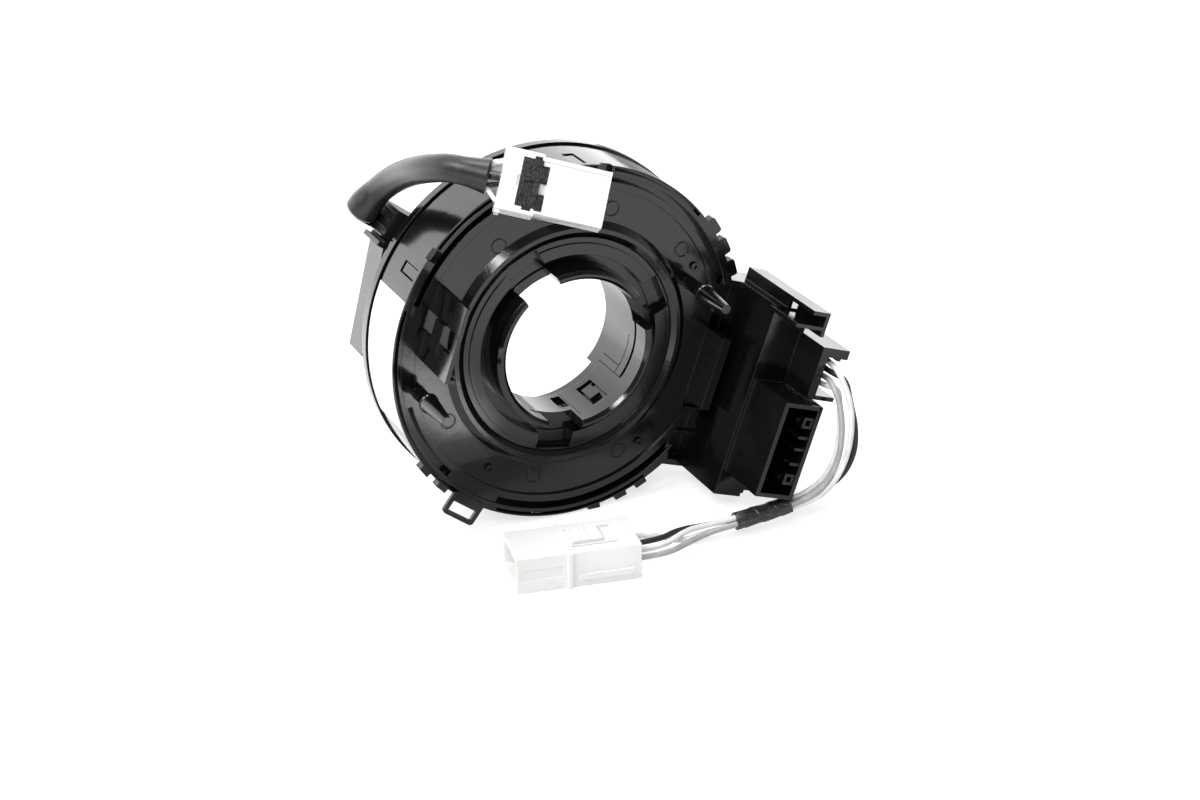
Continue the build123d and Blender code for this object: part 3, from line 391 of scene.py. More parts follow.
class Bench:
    """A place to build at: an origin and three directions, in millimetres."""

    def __init__(self, origin, long, side, up):
        self.origin, self.axes = Vector(origin), (Vector(long), Vector(side), Vector(up))

    def point(self, x, y, z):
        """A point of the bench, in metres."""
        return (self.origin + self.axes[0] * x + self.axes[1] * y + self.axes[2] * z) * MM

    def matrix(self, x, y, z):
        """The turn and shift that bring a mesh to a point of the bench."""
        turned = Matrix(self.axes).transposed().to_4x4()
        return Matrix.Translation(self.point(x, y, z)) @ turned

    def box(self, shell, x0, x1, y0, y1, z0, z1):
        """A closed box between two corners."""
        corners = [shell.verts.new(self.point(x, y, z))
                   for z in (z0, z1) for y in (y0, y1) for x in (x0, x1)]
        made = [shell.faces.new([corners[index] for index in quad]) for quad in BOX_FACES]
        bmesh.ops.recalc_face_normals(shell, faces=made)


def boolean(target, boxes, bench, operation):
    """Joins boxes to a piece or cuts them from it, one after another."""
    for corners in boxes:
        shell = bmesh.new()
        bench.box(shell, *corners)
        tool = mesh_object("tool", shell)
        step = target.modifiers.new("step", "BOOLEAN")
        step.operation, step.solver, step.object = operation, "EXACT", tool
        settle(target)
        bpy.data.objects.remove(tool)


def settle(target):
    """Turns a piece's modifiers into its plain mesh."""
    bpy.context.view_layer.update()
    evaluated = target.evaluated_get(bpy.context.evaluated_depsgraph_get())
    mesh = bpy.data.meshes.new_from_object(evaluated)
    target.modifiers.clear()
    old = target.data
    target.data = mesh
    mesh.name = target.name
    bpy.data.meshes.remove(old)


def round_edges(piece, width, segments=2):
    """Rounds a piece's sharp edges by a Bevel modifier and settles it."""
    soft = piece.modifiers.new("soft", "BEVEL")
    soft.width, soft.segments = width * MM, segments
    soft.limit_method, soft.angle_limit = "ANGLE", math.radians(40)
    settle(piece)


def moulded(name, bench, body, joins=(), cuts=(), edge=0.25, segments=2):
    """A moulded piece from boxes, with rounded edges."""
    shell = bmesh.new()
    bench.box(shell, *body)
    piece = mesh_object(name, shell)
    boolean(piece, joins, bench, "UNION")
    boolean(piece, cuts, bench, "DIFFERENCE")
    round_edges(piece, edge, segments)
    for polygon in piece.data.polygons:
        polygon.use_smooth = False
    return piece


# %% [markdown]
# The pigtail's connector has a wider head with a recess for its dark retainer, a stepped body
# and a hollow mouth. Each box gives its span along the connector, across it and out of its
# face.

# %% Pigtail connector
pigtail_bench = Bench(pigtail_end, pigtail_long, pigtail_side, pigtail_normal)
HEAD, LONG = 10.5, 29.2
HALF_HEAD, HALF_BODY, HALF_THICK = 8.5, 7.75, 4.3
WALL, MOUTH_DEPTH, POCKET = 1.0, 9.0, 1.2
pocket = (HALF_THICK - POCKET, HALF_THICK + 1)
pigtail_housing = moulded(
    "pigtail_housing",
    pigtail_bench,
    (0, LONG, -HALF_BODY, HALF_BODY, -HALF_THICK, HALF_THICK - 0.35),
    joins=[
        (0, HEAD, -HALF_HEAD, HALF_HEAD, -HALF_THICK, HALF_THICK),
        (HEAD - 1.0, LONG, -HALF_BODY, 1.2, HALF_THICK - 1.0, HALF_THICK),
        (HEAD - 1.0, LONG, 6.6, HALF_BODY, HALF_THICK - 1.0, HALF_THICK),
        (0.2, 1.5, -HALF_HEAD - 1.1, -HALF_HEAD + 0.5, -1.5, HALF_THICK - 0.6),
    ],
    cuts=[
        (LONG - MOUTH_DEPTH, LONG + 1, -HALF_BODY + WALL, HALF_BODY - WALL,
         -HALF_THICK + WALL, HALF_THICK - WALL - 0.1),
        (5.0, 10.6, -6.7, 6.7, *pocket),
        (8.0, 10.1, 6.5, 7.5, *pocket),
        (7.0, 9.5, -7.5, -6.5, *pocket),
        (10.3, 12.5, -7.1, 5.4, *pocket),
        (4.3, 5.1, -1.6, 1.6, HALF_THICK - 0.35, HALF_THICK + 1),
    ],
    edge=0.4,
    segments=3,
)
REAR_PITCH, REAR_HALF = 2.7, 1.0
rear_holes = [(-1, 1.6, place * REAR_PITCH - REAR_HALF, place * REAR_PITCH + REAR_HALF, -1.6, 1.6)
              for place in range(-2, 3)]
boolean(pigtail_housing, rear_holes, pigtail_bench, "DIFFERENCE")
print("pigtail housing faces:", len(pigtail_housing.data.polygons))

# %% [markdown]
# The retainer fills the recess of the head. Two tabs hold it at the sides, a split strip lies
# in front of it, and low bars and slots show where its fingers lock the contacts.

# %% Retainer
flush = (HALF_THICK - POCKET, HALF_THICK + 0.1)
sunk = (HALF_THICK - POCKET, HALF_THICK - 0.3)
retainer = moulded(
    "retainer",
    pigtail_bench,
    (5.0, 10.5, -6.4, 6.5, *flush),
    joins=[
        (8.2, 9.9, 6.0, 7.3, *flush),
        (7.2, 9.3, -7.3, -6.0, *flush),
        (10.3, 12.3, 0.6, 5.2, *sunk),
        (10.3, 12.3, -6.9, -2.4, *sunk),
        (9.4, 9.8, -6.0, 5.6, HALF_THICK - 0.2, HALF_THICK + 0.45),
        (10.1, 10.5, -6.2, 5.4, HALF_THICK - 0.5, HALF_THICK + 0.45),
        (5.3, 8.0, 1.6, 2.1, HALF_THICK - 0.2, HALF_THICK + 0.3),
        (5.3, 7.0, -3.4, -2.9, HALF_THICK - 0.2, HALF_THICK + 0.3),
    ],
    cuts=[
        (6.5, 9.2, -0.3, 0.5, HALF_THICK - 0.8, HALF_THICK + 1),
        (7.4, 8.3, -5.0, -4.0, HALF_THICK - 0.6, HALF_THICK + 1),
        (7.2, 7.9, 3.4, 4.6, HALF_THICK - 0.5, HALF_THICK + 1),
    ],
    edge=0.12,
)
print("retainer faces:", len(retainer.data.polygons))

# %% [markdown]
# The lead's connector lies flat on the table. It has a lock lever on top, side flanges, and a
# hollow mouth.

# %% Lead connector
LEAD_LONG, LEAD_HALF, LEAD_HIGH = 36.0, 8.5, 11.0
LEAD_WALL, HOLE_HALF = 1.8, 1.3
lead_bench = Bench(lead_end, lead_long, lead_side, (0, 0, 1))
lead_housing = moulded(
    "lead_housing",
    lead_bench,
    (0, LEAD_LONG, -LEAD_HALF, LEAD_HALF, 0, LEAD_HIGH),
    joins=[
        (20.0, 21.4, -LEAD_HALF - 0.8, LEAD_HALF + 0.8, 0, LEAD_HIGH),
        (2.0, 18.0, -LEAD_HALF - 0.5, -LEAD_HALF + 0.5, 2.0, 4.0),
        (2.0, 18.0, LEAD_HALF - 0.5, LEAD_HALF + 0.5, 2.0, 4.0),
    ],
    cuts=[
        (LEAD_LONG - 9.0, LEAD_LONG + 1, -LEAD_HALF + LEAD_WALL, LEAD_HALF - LEAD_WALL,
         LEAD_WALL, LEAD_HIGH - LEAD_WALL),
        (22.6, 35.0, -LEAD_HALF - 0.5, -LEAD_HALF + 0.3, 4.0, 7.0),
        (22.6, 35.0, LEAD_HALF - 0.3, LEAD_HALF + 0.5, 4.0, 7.0),
        (6.0, 19.4, -5.2, -4.4, LEAD_HIGH - 1.4, LEAD_HIGH + 1),
        (6.0, 19.4, 4.4, 5.2, LEAD_HIGH - 1.4, LEAD_HIGH + 1),
    ],
)
wire_holes = [(-1, 2.2, y - HOLE_HALF, y + HOLE_HALF, HOLE_Z - HOLE_HALF, HOLE_Z + HOLE_HALF)
              for y in hole_y]
boolean(lead_housing, wire_holes, lead_bench, "DIFFERENCE")
lead_lever = moulded(
    "lead_lever",
    lead_bench,
    (10.0, 19.0, -4.0, 4.0, LEAD_HIGH, LEAD_HIGH + 1.2),
    edge=0.15,
)
print("lead housing faces:", len(lead_housing.data.polygons))

# %% [markdown]
# ## Finishes
#
# Shader maths is written as plain expressions. A small class wraps one output of a node tree,
# so that adding or multiplying two of them adds the Math node that does it.

# %% Shader expressions


class Signal:
    """One number or colour inside a material."""

    def __init__(self, finish, socket):
        self.finish, self.socket = finish, socket

    def _math(self, operation, *values):
        """The signal that a Math node makes of these values."""
        return self.finish.node("ShaderNodeMath", {"operation": operation}, *values)

    def __add__(self, other):
        return self._math("ADD", self, other)

    def __sub__(self, other):
        return self._math("SUBTRACT", self, other)

    def __rsub__(self, other):
        return self._math("SUBTRACT", other, self)

    def __mul__(self, other):
        return self._math("MULTIPLY", self, other)

    __radd__, __rmul__ = __add__, __mul__

    def over(self, edge, softness):
        """0 below an edge and 1 above it, with a soft step between."""
        return self.finish.node(
            "ShaderNodeMapRange", {"clamp": True}, self, edge - softness, edge + softness, 0.0, 1.0)


class Finish:
    """A material that starts from constant values and gains nodes one by one. Its gloss is
    the roughness around which its textures vary."""

    def __init__(self, name, color, roughness, **constants):
        self.material = bpy.data.materials.new(name)
        self.material.use_nodes = True
        self.tree = self.material.node_tree
        self.shader = self.tree.nodes["Principled BSDF"]
        self.color, self.gloss = color, roughness
        self.set("Base Color", (*color, 1.0))
        self.set("Roughness", roughness)
        for key, value in constants.items():
            self.set(key.replace("_", " "), value)
        self.place = self.node("ShaderNodeTexCoord", out="Object")

    def node(self, kind, settings=None, *values, out=0):
        """Adds a node: its settings first, then the values or links of its inputs."""
        made = self.tree.nodes.new(kind)
        for key, value in (settings or {}).items():
            setattr(made, key, value)
        for position, value in enumerate(values):
            self.plug(made.inputs[position], value)
        return Signal(self, made.outputs[out])

    def plug(self, target, value):
        """Links a signal to an input, or sets its constant value."""
        if isinstance(value, Signal):
            self.tree.links.new(value.socket, target)
        elif value is not None:
            target.default_value = value

    def set(self, name, value):
        """Gives one input of the shader its value or link."""
        self.plug(self.shader.inputs[name], value)

    def noise(self, scale, detail, stretch=None):
        """Soft noise with this many lumps a metre, stretched along an axis if asked."""
        where = self.place
        if stretch:
            where = self.node("ShaderNodeMapping", None, where, None, None, stretch)
        return self.node("ShaderNodeTexNoise", None, where, None, scale, detail, 0.55)

    def spots(self, scale, size):
        """Sparse round spots, 1 inside."""
        cells = self.node("ShaderNodeTexVoronoi", None, self.place, None, scale)
        return 1.0 - cells.over(size, size * 0.4)

    def blend(self, mask, first, second):
        """Mixes two colours by a mask."""
        made = self.tree.nodes.new("ShaderNodeMix")
        made.data_type = "RGBA"
        self.plug(made.inputs[0], mask)
        for spot, value in ((6, first), (7, second)):
            self.plug(made.inputs[spot], (*value, 1.0) if isinstance(value, tuple) else value)
        return Signal(self, made.outputs[2])

    def grey(self, value):
        """A grey colour from one number."""
        return self.node("ShaderNodeCombineXYZ", None, value, value, value)

    def bump(self, height, distance, strength, rounding=0.0):
        """Sends a height in millimetres to the shader, over edges rounded by a bevel."""
        normal = None
        if rounding:
            normal = self.node("ShaderNodeBevel", {"samples": 4}, rounding * MM)
        made = self.node("ShaderNodeBump", None, strength, distance * MM)
        bump = made.socket.node
        self.plug(bump.inputs["Height"], height)
        if normal:
            self.plug(bump.inputs["Normal"], normal)
        self.set("Normal", made)


# %% [markdown]
# Moulded black plastic is nearly black and shines. What makes it look real is what breaks the
# shine up: a very low waviness from the mould, patches that have been touched, hairline
# scratches, and a little dust.

# %% Black plastics
EDGE_ROUNDING, DUST = 0.3, 0.5


def black_plastic(name, level, gloss, wave, scratch):
    """Moulded black plastic: how bright, how glossy, how wavy and how scratched it is."""
    finish = Finish(name, (level, level, level * 1.03), gloss, IOR=1.5)
    handled = finish.noise(38.0, 4.0).over(0.5, 0.2)
    cloudy = finish.noise(160.0, 3.0)
    hair = finish.noise(420.0, 2.0, stretch=(1.0, 1.0, 26.0)).over(0.66, 0.03)
    cross = finish.noise(380.0, 2.0, stretch=(24.0, 1.0, 1.0)).over(0.67, 0.03)
    specks = finish.spots(900.0, 0.075) * DUST
    lines = (hair + cross) * scratch
    dulled = handled * 0.06 + cloudy * 0.05 + lines * 0.12 + specks * 0.3
    finish.set("Roughness", dulled + gloss - 0.05)
    pale = (level + 0.035, level + 0.035, level + 0.037)
    finish.set("Base Color", finish.blend(lines * 0.35 + specks * 0.6, finish.color, pale))
    grain = finish.noise(1500.0, 2.0)
    height = cloudy * wave + grain * 0.02 + lines * 0.02 + specks * 0.1
    finish.bump(height, 0.35, 0.5, EDGE_ROUNDING)
    return finish.material


def satin_plastic(name, color, gloss, grain_height, rounding=0.25):
    """Dull moulded plastic with a fine even grain."""
    finish = Finish(name, color, gloss, IOR=1.47)
    worn = finish.noise(90.0, 4.0)
    grain = finish.noise(2600.0, 2.0)
    finish.set("Roughness", worn * 0.14 + grain * 0.05 + gloss - 0.09)
    darker = tuple(channel * 0.86 for channel in color)
    finish.set("Base Color", finish.blend(worn.over(0.5, 0.2), darker, color))
    finish.bump(grain * grain_height + worn * 0.1, 0.25, 0.6, rounding)
    return finish.material


case_black = black_plastic("case_black", 0.0035, gloss=0.12, wave=0.25, scratch=0.5)
drum_black = black_plastic("drum_black", 0.0035, gloss=0.1, wave=0.2, scratch=0.5)
rotor_black = black_plastic("rotor_black", 0.004, gloss=0.12, wave=0.22, scratch=0.4)
plug_black = satin_plastic("plug_black", (0.005, 0.005, 0.0055), 0.3, 0.3)
retainer_black = satin_plastic("retainer_black", (0.005, 0.005, 0.0055), 0.2, 0.4, 0.1)
wheel_grey = satin_plastic("wheel_grey", (0.012, 0.012, 0.013), 0.3, 0.3)
gear_white = satin_plastic("gear_white", (0.78, 0.77, 0.72), 0.38, 0.2, 0.08)
print("black finishes made")

# %% [markdown]
# The white connectors let a little light in, which softens their edges. Their colour is a
# shade off white, so the surface still shows its form in bright light.

# %% White plastic and paper


def white_plastic():
    """Natural white nylon, slightly translucent."""
    finish = Finish("connector_white", (0.86, 0.86, 0.85), 0.36, IOR=1.5)
    finish.set("Subsurface Weight", 0.12)
    finish.set("Subsurface Radius", (0.0012, 0.0011, 0.001))
    flow = finish.noise(120.0, 4.0)
    grain = finish.noise(2400.0, 2.0)
    finish.set("Base Color", finish.blend(flow.over(0.52, 0.2), (0.83, 0.83, 0.815), finish.color))
    finish.set("Roughness", flow * 0.12 + grain * 0.05 + finish.gloss - 0.09)
    finish.bump(grain * 0.3 + flow * 0.15, 0.2, 0.5, 0.12)
    return finish.material


def paper():
    """A bare paper label."""
    finish = Finish("label_white", (0.72, 0.72, 0.72), 0.42)
    fibre = finish.noise(3200.0, 4.0, stretch=(1.0, 0.4, 1.0))
    finish.set("Base Color", finish.blend(fibre, (0.87, 0.87, 0.865), finish.color))
    finish.set("Roughness", fibre * 0.2 + finish.gloss - 0.08)
    finish.bump(fibre, 0.06, 0.5)
    return finish.material


connector_white = white_plastic()
label_white = paper()

# %% [markdown]
# The sleeve is soft vinyl: darker than the case, with a broad shine and faint creases across
# it. The wires have a thin hard insulation, and the tape is a smooth vinyl that was stretched
# as it was wound.

# %% Sleeve, wires and tape


def soft_vinyl():
    """Soft black vinyl with faint creases and a thin coat of shine."""
    finish = Finish("sleeve_black", (0.011, 0.011, 0.012), 0.31, IOR=1.42)
    finish.set("Coat Weight", 0.15)
    finish.set("Coat Roughness", 0.3)
    crease = finish.noise(210.0, 3.0, stretch=(2.6, 1.0, 1.0))
    skin = finish.noise(1700.0, 3.0)
    finish.set("Roughness", crease * 0.14 + skin * 0.06 + finish.gloss - 0.05)
    worn = (0.02, 0.02, 0.021)
    finish.set("Base Color", finish.blend(crease.over(0.5, 0.25), finish.color, worn))
    finish.bump(crease * 0.8 + skin * 0.2, 0.28, 0.5)
    return finish.material


def insulation(name, color):
    """The thin hard skin of a wire, a little soiled."""
    finish = Finish(name, color, 0.3, IOR=1.5)
    soiled = finish.noise(260.0, 3.0)
    skin = finish.noise(2400.0, 2.0)
    dull = tuple(channel * 0.82 for channel in color)
    finish.set("Base Color", finish.blend(soiled.over(0.56, 0.16), color, dull))
    finish.set("Roughness", soiled * 0.14 + skin * 0.06 + finish.gloss - 0.06)
    finish.bump(skin * 0.25 + soiled * 0.3, 0.12, 0.5)
    return finish.material


def vinyl_tape():
    """Smooth black tape, paler where it was stretched."""
    finish = Finish("tape_black", (0.018, 0.018, 0.019), 0.24, IOR=1.5)
    stretch = finish.noise(330.0, 3.0, stretch=(1.0, 2.4, 3.0))
    finish.set("Roughness", stretch * 0.22 + finish.gloss - 0.1)
    paler = (0.06, 0.06, 0.062)
    finish.set("Base Color", finish.blend(stretch.over(0.55, 0.2), finish.color, paler))
    finish.bump(stretch, 0.35, 0.7)
    return finish.material


sleeve_black = soft_vinyl()
wire_white = insulation("wire_white", (0.82, 0.82, 0.8))
wire_grey = insulation("wire_grey", (0.42, 0.42, 0.42))
wire_black = insulation("wire_black", (0.018, 0.018, 0.019))
tape_black = vinyl_tape()

# %% [markdown]
# A few small parts are mostly hidden: tinned contacts, the circuit board with its copper under
# green resist, the chips, the magnets and the flat cable with its copper strips.

# %% Metals and electronics


def tinned():
    """Drawn and tinned contact metal."""
    finish = Finish("pin_metal", (0.7, 0.68, 0.63), 0.28, Metallic=1.0)
    drawn = finish.noise(1300.0, 3.0, stretch=(4.0, 1.0, 4.0))
    finish.set("Roughness", drawn * 0.22 + finish.gloss - 0.11)
    finish.set("Base Color", finish.blend(drawn, (0.6, 0.57, 0.5), finish.color))
    finish.bump(drawn, 0.08, 0.5)
    return finish.material


def resist():
    """Green resist over the tracks of a board."""
    finish = Finish("board_green", (0.01, 0.09, 0.035), 0.3, IOR=1.5)
    colors = (None, None, None)
    tracks = finish.node(
        "ShaderNodeTexBrick", {"offset": 0.5}, finish.place, *colors, 260.0, 0.06, out="Fac")
    finish.set("Base Color", finish.blend(tracks, (0.02, 0.16, 0.06), finish.color))
    finish.set("Roughness", tracks * 0.1 + finish.gloss - 0.04)
    finish.bump(tracks, 0.05, 0.5)
    return finish.material


def copper_film():
    """Amber film with copper strips inside."""
    finish = Finish("cable_amber", (0.5, 0.24, 0.1), 0.3)
    strips = finish.node("ShaderNodeTexWave", {"bands_direction": "Y"}, finish.place, 160.0)
    finish.set("Base Color", finish.blend(strips.over(0.4, 0.1), (0.12, 0.07, 0.03), finish.color))
    finish.set("Roughness", strips * 0.12 + finish.gloss - 0.06)
    finish.bump(strips, 0.05, 0.5)
    return finish.material


pin_metal = tinned()
board_green = resist()
cable_amber = copper_film()
chip_black = satin_plastic("chip_black", (0.02, 0.02, 0.02), 0.5, 0.5, 0.08)
magnet_dark = satin_plastic("magnet_dark", (0.1, 0.1, 0.1), 0.36, 0.5, 0.08)

# %% Finish of every solid
finishes = {
    case_black: ["sensor_case", "block_cover", "case_rivets"],
    drum_black: ["drum_case", "end_cover"],
    rotor_black: ["rotor_hub", "cancel_cam"],
    plug_black: ["lead_plug"],
    retainer_black: ["pigtail_retainer"],
    wheel_grey: ["wheel_connector"],
    gear_white: ["drive_gear", "magnet_gear_1", "magnet_gear_2"],
    connector_white: ["pigtail_connector", "lead_connector", "lead_lock"],
    label_white: ["label"],
    sleeve_black: ["pigtail_sleeve"],
    wire_black: ["lead_wire_3", "pigtail_wire_1", "pigtail_wire_3"],
    wire_grey: ["lead_wire_2", "pigtail_wire_2"],
    wire_white: ["lead_wire_1", "lead_wire_4"],
    tape_black: ["tape_wrap"],
    pin_metal: ["socket_pins", "wheel_pins"],
    board_green: ["sensor_board"],
    chip_black: ["board_chips"],
    magnet_dark: ["magnet_1", "magnet_2"],
    cable_amber: ["flat_cable"],
}
for material, names in finishes.items():
    for name in names:
        nodes[name].data.materials.clear()
        nodes[name].data.materials.append(material)
print("solids finished:", sum(len(names) for names in finishes.values()), "of", len(nodes))

# %% [markdown]
# ## Rows that repeat
#
# Finger ribs on the lock lever, and the towers that hold the contacts at the bottom of a
# connector's mouth, stand in rows at an even pitch. One Geometry Nodes tree sets out such
# rows: a grid of points, a block on each point, and then real mesh with its finish. Its named
# inputs give the number, the pitch and the size of the blocks, so every row uses the same tree.

# %% The tree that sets out rows of blocks
row_tree = bpy.data.node_groups.new("block_rows", "GeometryNodeTree")
row_inputs = {}
for title, kind in (
    ("Columns", "NodeSocketInt"), ("Rows", "NodeSocketInt"),
    ("Column Pitch", "NodeSocketFloat"), ("Row Pitch", "NodeSocketFloat"),
    ("Block Size", "NodeSocketVector"), ("Finish", "NodeSocketMaterial"),
):
    socket = row_tree.interface.new_socket(title, in_out="INPUT", socket_type=kind)
    row_inputs[title] = socket.identifier
row_tree.interface.new_socket("Geometry", in_out="OUTPUT", socket_type="NodeSocketGeometry")


def tree_node(tree, kind, settings, inputs):
    """A node of any tree: its settings first, then a value or a link for each input."""
    made = tree.nodes.new(kind)
    for key, value in settings.items():
        setattr(made, key, value)
    for key, value in inputs.items():
        if isinstance(value, bpy.types.NodeSocket):
            tree.links.new(value, made.inputs[key])
        else:
            made.inputs[key].default_value = value
    return made.outputs


def tree_math(tree, operation, first, second):
    """The result of one Math node of a tree."""
    made = tree_node(tree, "ShaderNodeMath", {"operation": operation}, {0: first, 1: second})
    return made["Value"]


def span(count, pitch):
    """The length from the first point of a row to its last."""
    return tree_math(row_tree, "MULTIPLY", tree_math(row_tree, "SUBTRACT", count, 1.0), pitch)


given = row_tree.nodes.new("NodeGroupInput").outputs
grid = tree_node(row_tree, "GeometryNodeMeshGrid", {}, {
    "Vertices X": given["Columns"], "Vertices Y": given["Rows"],
    "Size X": span(given["Columns"], given["Column Pitch"]),
    "Size Y": span(given["Rows"], given["Row Pitch"]),
})
block = tree_node(row_tree, "GeometryNodeMeshCube", {}, {"Size": given["Block Size"]})
placed = tree_node(row_tree, "GeometryNodeInstanceOnPoints", {}, {
    "Points": grid["Mesh"], "Instance": block["Mesh"],
})
real = tree_node(row_tree, "GeometryNodeRealizeInstances", {}, {"Geometry": placed["Instances"]})
finished = tree_node(row_tree, "GeometryNodeSetMaterial", {}, {
    "Geometry": real["Geometry"], "Material": given["Finish"],
})
row_tree.links.new(finished["Geometry"], row_tree.nodes.new("NodeGroupOutput").inputs[0])
print("nodes in the row tree:", len(row_tree.nodes))

# %% Rows of blocks


def rows_of_blocks(name, bench, middle, counts, pitches, size, edge):
    """Blocks in columns along the bench and rows across it, around a middle point."""
    piece = scene_object(name, bpy.data.meshes.new(name))
    rows = piece.modifiers.new("rows", "NODES")
    rows.node_group = row_tree
    for title, value in (
        ("Columns", counts[0]), ("Rows", counts[1]),
        ("Column Pitch", pitches[0] * MM), ("Row Pitch", pitches[1] * MM),
        ("Block Size", [side * MM for side in size]), ("Finish", connector_white),
    ):
        rows[row_inputs[title]] = value
    round_edges(piece, edge)
    piece.data.transform(bench.matrix(*middle))
    return piece


lever_ribs = rows_of_blocks(
    "lever_ribs", lead_bench, middle=(16.4, 0.0, LEAD_HIGH + 1.3), counts=(4, 1),
    pitches=(1.3, 1.0), size=(0.6, 7.4, 0.7), edge=0.15)
pigtail_towers = rows_of_blocks(
    "pigtail_towers", pigtail_bench, middle=(LONG - MOUTH_DEPTH + 1.4, 0.0, 0.0), counts=(1, 6),
    pitches=(1.0, 2.1), size=(3.0, 1.6, 3.6), edge=0.12)
lead_towers = rows_of_blocks(
    "lead_towers", lead_bench, middle=(28.4, 0.0, LEAD_HIGH / 2), counts=(1, 4),
    pitches=(1.0, 3.1), size=(3.0, 2.2, 4.4), edge=0.15)
for piece in (lever_ribs, pigtail_towers, lead_towers):
    print(piece.name, "faces:", len(piece.data.polygons))

# %% [markdown]
# ## Hand the pieces to the frame
#
# Every piece that was made gets its material, rides on a body of the frame, and hides the solids
# that it stands for, where there are any.

# %% Ride and replace


def hand_over(piece, body, slot, material, *replaced):
    """Gives a piece its finish and its place in the frame."""
    piece.data.materials.clear()
    piece.data.materials.append(material)
    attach(piece, body)
    if replaced:
        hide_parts(*replaced)


hand_over(sleeve, "rotor", "sleeve_black", sleeve_black, "pigtail_sleeve")
black = ("wire_black", wire_black)
grey = ("wire_grey", wire_grey)
white = ("wire_white", wire_white)
GAP_SOLIDS = 3
for number, (piece, look) in enumerate(zip(gap_wires, (black, black, grey, white, white)), start=1):
    hand_over(piece, "rotor", *look, *([f"pigtail_wire_{number}"] if number <= GAP_SOLIDS else []))
hand_over(pigtail_housing, "rotor", "connector_white", connector_white, "pigtail_connector")
hand_over(retainer, "rotor", "retainer_black", retainer_black, "pigtail_retainer")

for number, piece, look in zip(stands_for, lead_wires, (black, white, grey, white)):
    hand_over(piece, "case", *look, f"lead_wire_{number}")
hand_over(tape, "case", "tape_black", tape_black, "tape_wrap")
hand_over(lead_housing, "case", "connector_white", connector_white, "lead_connector")
hand_over(lead_lever, "case", "connector_white", connector_white, "lead_lock")
hand_over(lever_ribs, "case", "connector_white", connector_white)
hand_over(lead_towers, "case", "connector_white", connector_white)
hand_over(pigtail_towers, "rotor", "connector_white", connector_white)
print("pieces handed over")

# %% [markdown]
# Each wire of the lead gets a list of what hangs on its far end, and the lengths of its line and of
# the sleeve are measured. The first wire's list also holds the connector's small pieces and the
# tape.

for number, wire in enumerate(lead_wires):
    spots = [Vector(spot.co[:3]) / MM for spot in wire.data.splines[0].points]
    carried = [lead_housing]
    if number == 0:
        carried += [lead_lever, lever_ribs, lead_towers, tape]
    length_of(line_points(spots)) * MM
length_of(sleeve_path) * MM
print("cords declared:", len(lead_wires) + 1)

# %% [markdown]
# ## Light
#
# The object stands on a plain pale table with a lit backdrop behind it, as for a catalogue.
# Black gloss shows mostly what it mirrors, so the light that only mirror rays see is set apart
# from the light that falls on the object and from what the camera sees. The backdrop, which is
# brighter than white where it is mirrored, draws every edge and wall that turns away, while
# the faces turned to the camera mirror the darker front of the room.
#
# Four parts of the floor give light that only mirror rays see, as painted reflections in the gloss:
# the front far from the object, in the upper face; a faint strip near it, with a painted shadow of
# the first pin cut out of it; a painted bright patch beside that spot; and the lit floor behind, on
# the left only.

# %% Floor
FLOOR_HALF = 4.0
BACKDROP, FLOOR_SEEN, FLOOR_BOUNCE = 2.4, 0.71, 0.45
FAR_FRONT, NEAR_FRONT, PAINTED_GLOW = 0.9, 0.3, 4.5
floor_mesh = bmesh.new()
bmesh.ops.create_grid(floor_mesh, x_segments=1, y_segments=1, size=FLOOR_HALF)
bmesh.ops.translate(floor_mesh, verts=floor_mesh.verts[:], vec=(0, 0, STANDING_Z * MM))
floor = mesh_object("floor", floor_mesh)
floor_look = Finish("floor_white", (0.52, 0.52, 0.52), 0.9)


def ray(kind):
    """1 for rays of one kind, such as the camera's, and 0 for the others."""
    return floor_look.node("ShaderNodeLightPath", out=f"Is {kind} Ray")


def pool(x, y, half_width, half_depth):
    """A soft oval on the floor, 1 inside, with its middle and halves in millimetres."""
    scale = (1 / (half_width * MM), 1 / (half_depth * MM), 0.0)
    shift = (-x / half_width, -y / half_depth, 0.0)
    oval = floor_look.node("ShaderNodeMapping", None, floor_look.place, shift, None, scale)
    away = floor_look.node("ShaderNodeVectorMath", {"operation": "LENGTH"}, oval, out="Value")
    return 1.0 - away.over(1.0, 0.3)


floor_x, floor_y = (
    floor_look.node("ShaderNodeSeparateXYZ", None, floor_look.place, out=axis) for axis in "XY")
# Light that only mirror rays see on the floor: painted reflections for the black gloss.
lit_far = (0.0 - floor_y).over(0.14, 0.03) * FAR_FRONT
# The near strip has a painted shadow of the first pin, a dark oval cut out of it.
lit_near = (1.0 - floor_x.over(0.05, 0.05)) * (1.0 - pool(-8.0, -48.0, 13.0, 15.0)) * NEAR_FRONT
# A painted bright patch beside the painted shadow of the pin.
painted_glow_patch = pool(-6.0, -92.0, 12.0, 34.0) * PAINTED_GLOW
lit_behind = floor_y.over(0.1, 0.06) * (1.0 - floor_x.over(0.02, 0.05)) * BACKDROP
painted_reflections = ray("Glossy") * (lit_far + lit_near + painted_glow_patch + lit_behind)
away = floor_look.node(
    "ShaderNodeVectorMath", {"operation": "LENGTH"}, floor_look.place, out="Value")
camera_share = ray("Camera") * (away.over(0.6, 0.35) * (1.0 - FLOOR_SEEN) + FLOOR_SEEN)
bounce_share = ray("Diffuse") * FLOOR_BOUNCE
floor_look.set("Emission Color", floor_look.grey(camera_share + painted_reflections + bounce_share))
floor_look.set("Emission Strength", 1.0)
floor.data.materials.append(floor_look.material)
print("floor at z in mm:", STANDING_Z)

# %% [markdown]
# The world is white for the camera. Everything else sees it dark in front and bright behind,
# and mirror rays see it brighter still, most of all low down where the backdrop stands.

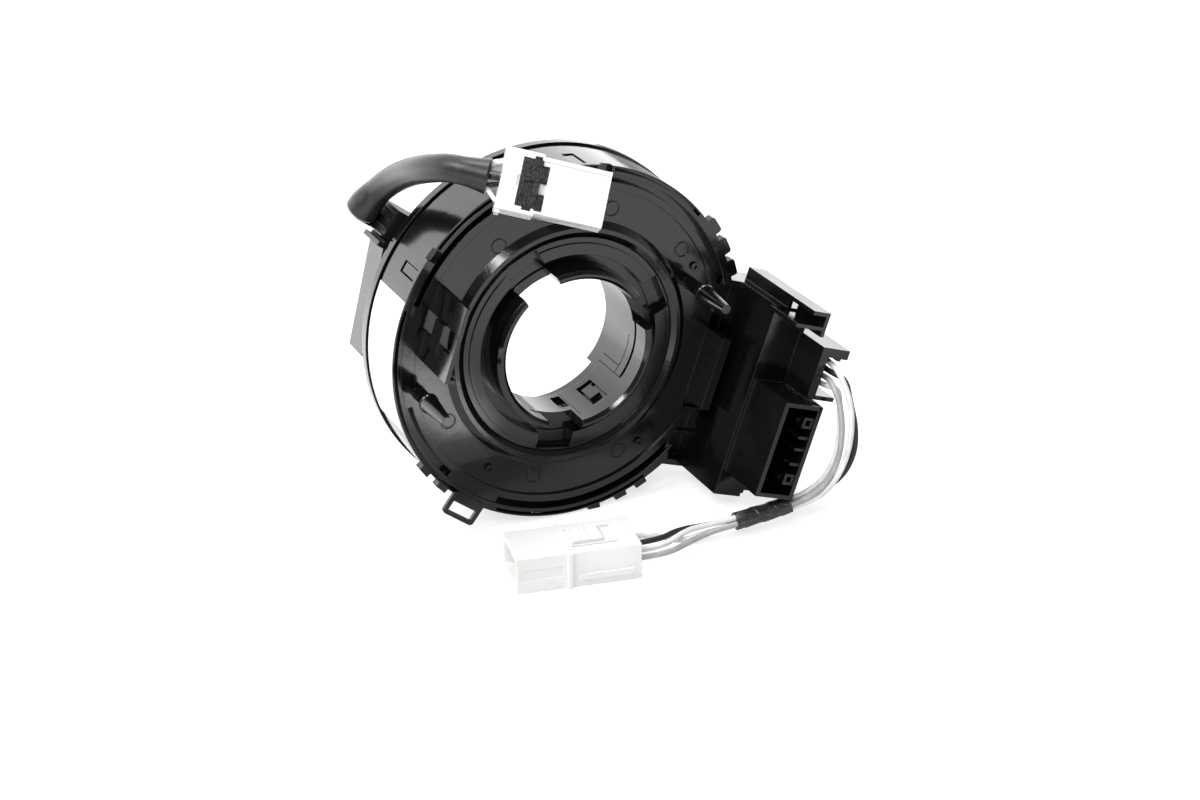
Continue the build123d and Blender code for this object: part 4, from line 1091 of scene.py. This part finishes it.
# %% World
FRONT_SKY, BACK_SKY = 0.07, 0.75
LOW_SHINE, HIGH_SHINE = 1.15 * BACKDROP, 1.3
world = bpy.data.worlds.new("world")
bpy.context.scene.world = world
world.use_nodes = True
sky = world.node_tree
background = sky.nodes["Background"]
background.inputs["Color"].default_value = (1.0, 1.0, 1.0, 1.0)


def graded(value, first, last, low, high):
    """A smooth change from one level to another while a value goes from first to last."""
    return tree_node(sky, "ShaderNodeMapRange", {"interpolation_type": "SMOOTHSTEP"}, {
        "Value": value, "From Min": first, "From Max": last, "To Min": low, "To Max": high,
    })["Result"]


path_kind = tree_node(sky, "ShaderNodeLightPath", {}, {})
direction = tree_node(sky, "ShaderNodeTexCoord", {}, {})["Generated"]
axes = tree_node(sky, "ShaderNodeSeparateXYZ", {}, {"Vector": direction})
behind = graded(axes["Y"], -0.3, 0.6, FRONT_SKY, BACK_SKY)
shine = tree_math(sky, "MULTIPLY", graded(axes["Z"], 0.2, 0.7, LOW_SHINE, HIGH_SHINE),
                  path_kind["Is Glossy Ray"])
lit = tree_math(sky, "MULTIPLY", behind, tree_math(sky, "ADD", shine, 1.0))
white_sky = tree_node(sky, "ShaderNodeMix", {"data_type": "FLOAT"}, {
    0: path_kind["Is Camera Ray"], 2: lit, 3: 1.0,
})
sky.links.new(white_sky[0], background.inputs["Strength"])
print("world nodes:", len(sky.nodes))

# %% [markdown]
# Three soft lamps, all pointed at the object, light the white pieces and draw the long
# highlights on the black ones. Places and sizes are in metres, powers in watts.

# %% Lamps


def soft_lamp(name, place, size, power):
    """A square soft lamp that faces the object."""
    data = bpy.data.lights.new(name, "AREA")
    data.shape, data.size, data.energy = "SQUARE", size, power
    lamp = scene_object(name, data)
    lamp.location = place
    lamp.rotation_euler = (-Vector(place)).to_track_quat("-Z", "Y").to_euler()
    return lamp


lamps = [
    soft_lamp("key_lamp", (-0.75, -0.15, 0.85), 0.55, 9.0),
    soft_lamp("top_lamp", (0.1, 0.1, 1.1), 0.5, 7.0),
    soft_lamp("front_lamp", (-0.6, -0.95, 1.0), 0.35, 8.5),
]
bpy.context.scene.view_settings.view_transform = "Standard"
print("lamps:", len(lamps))
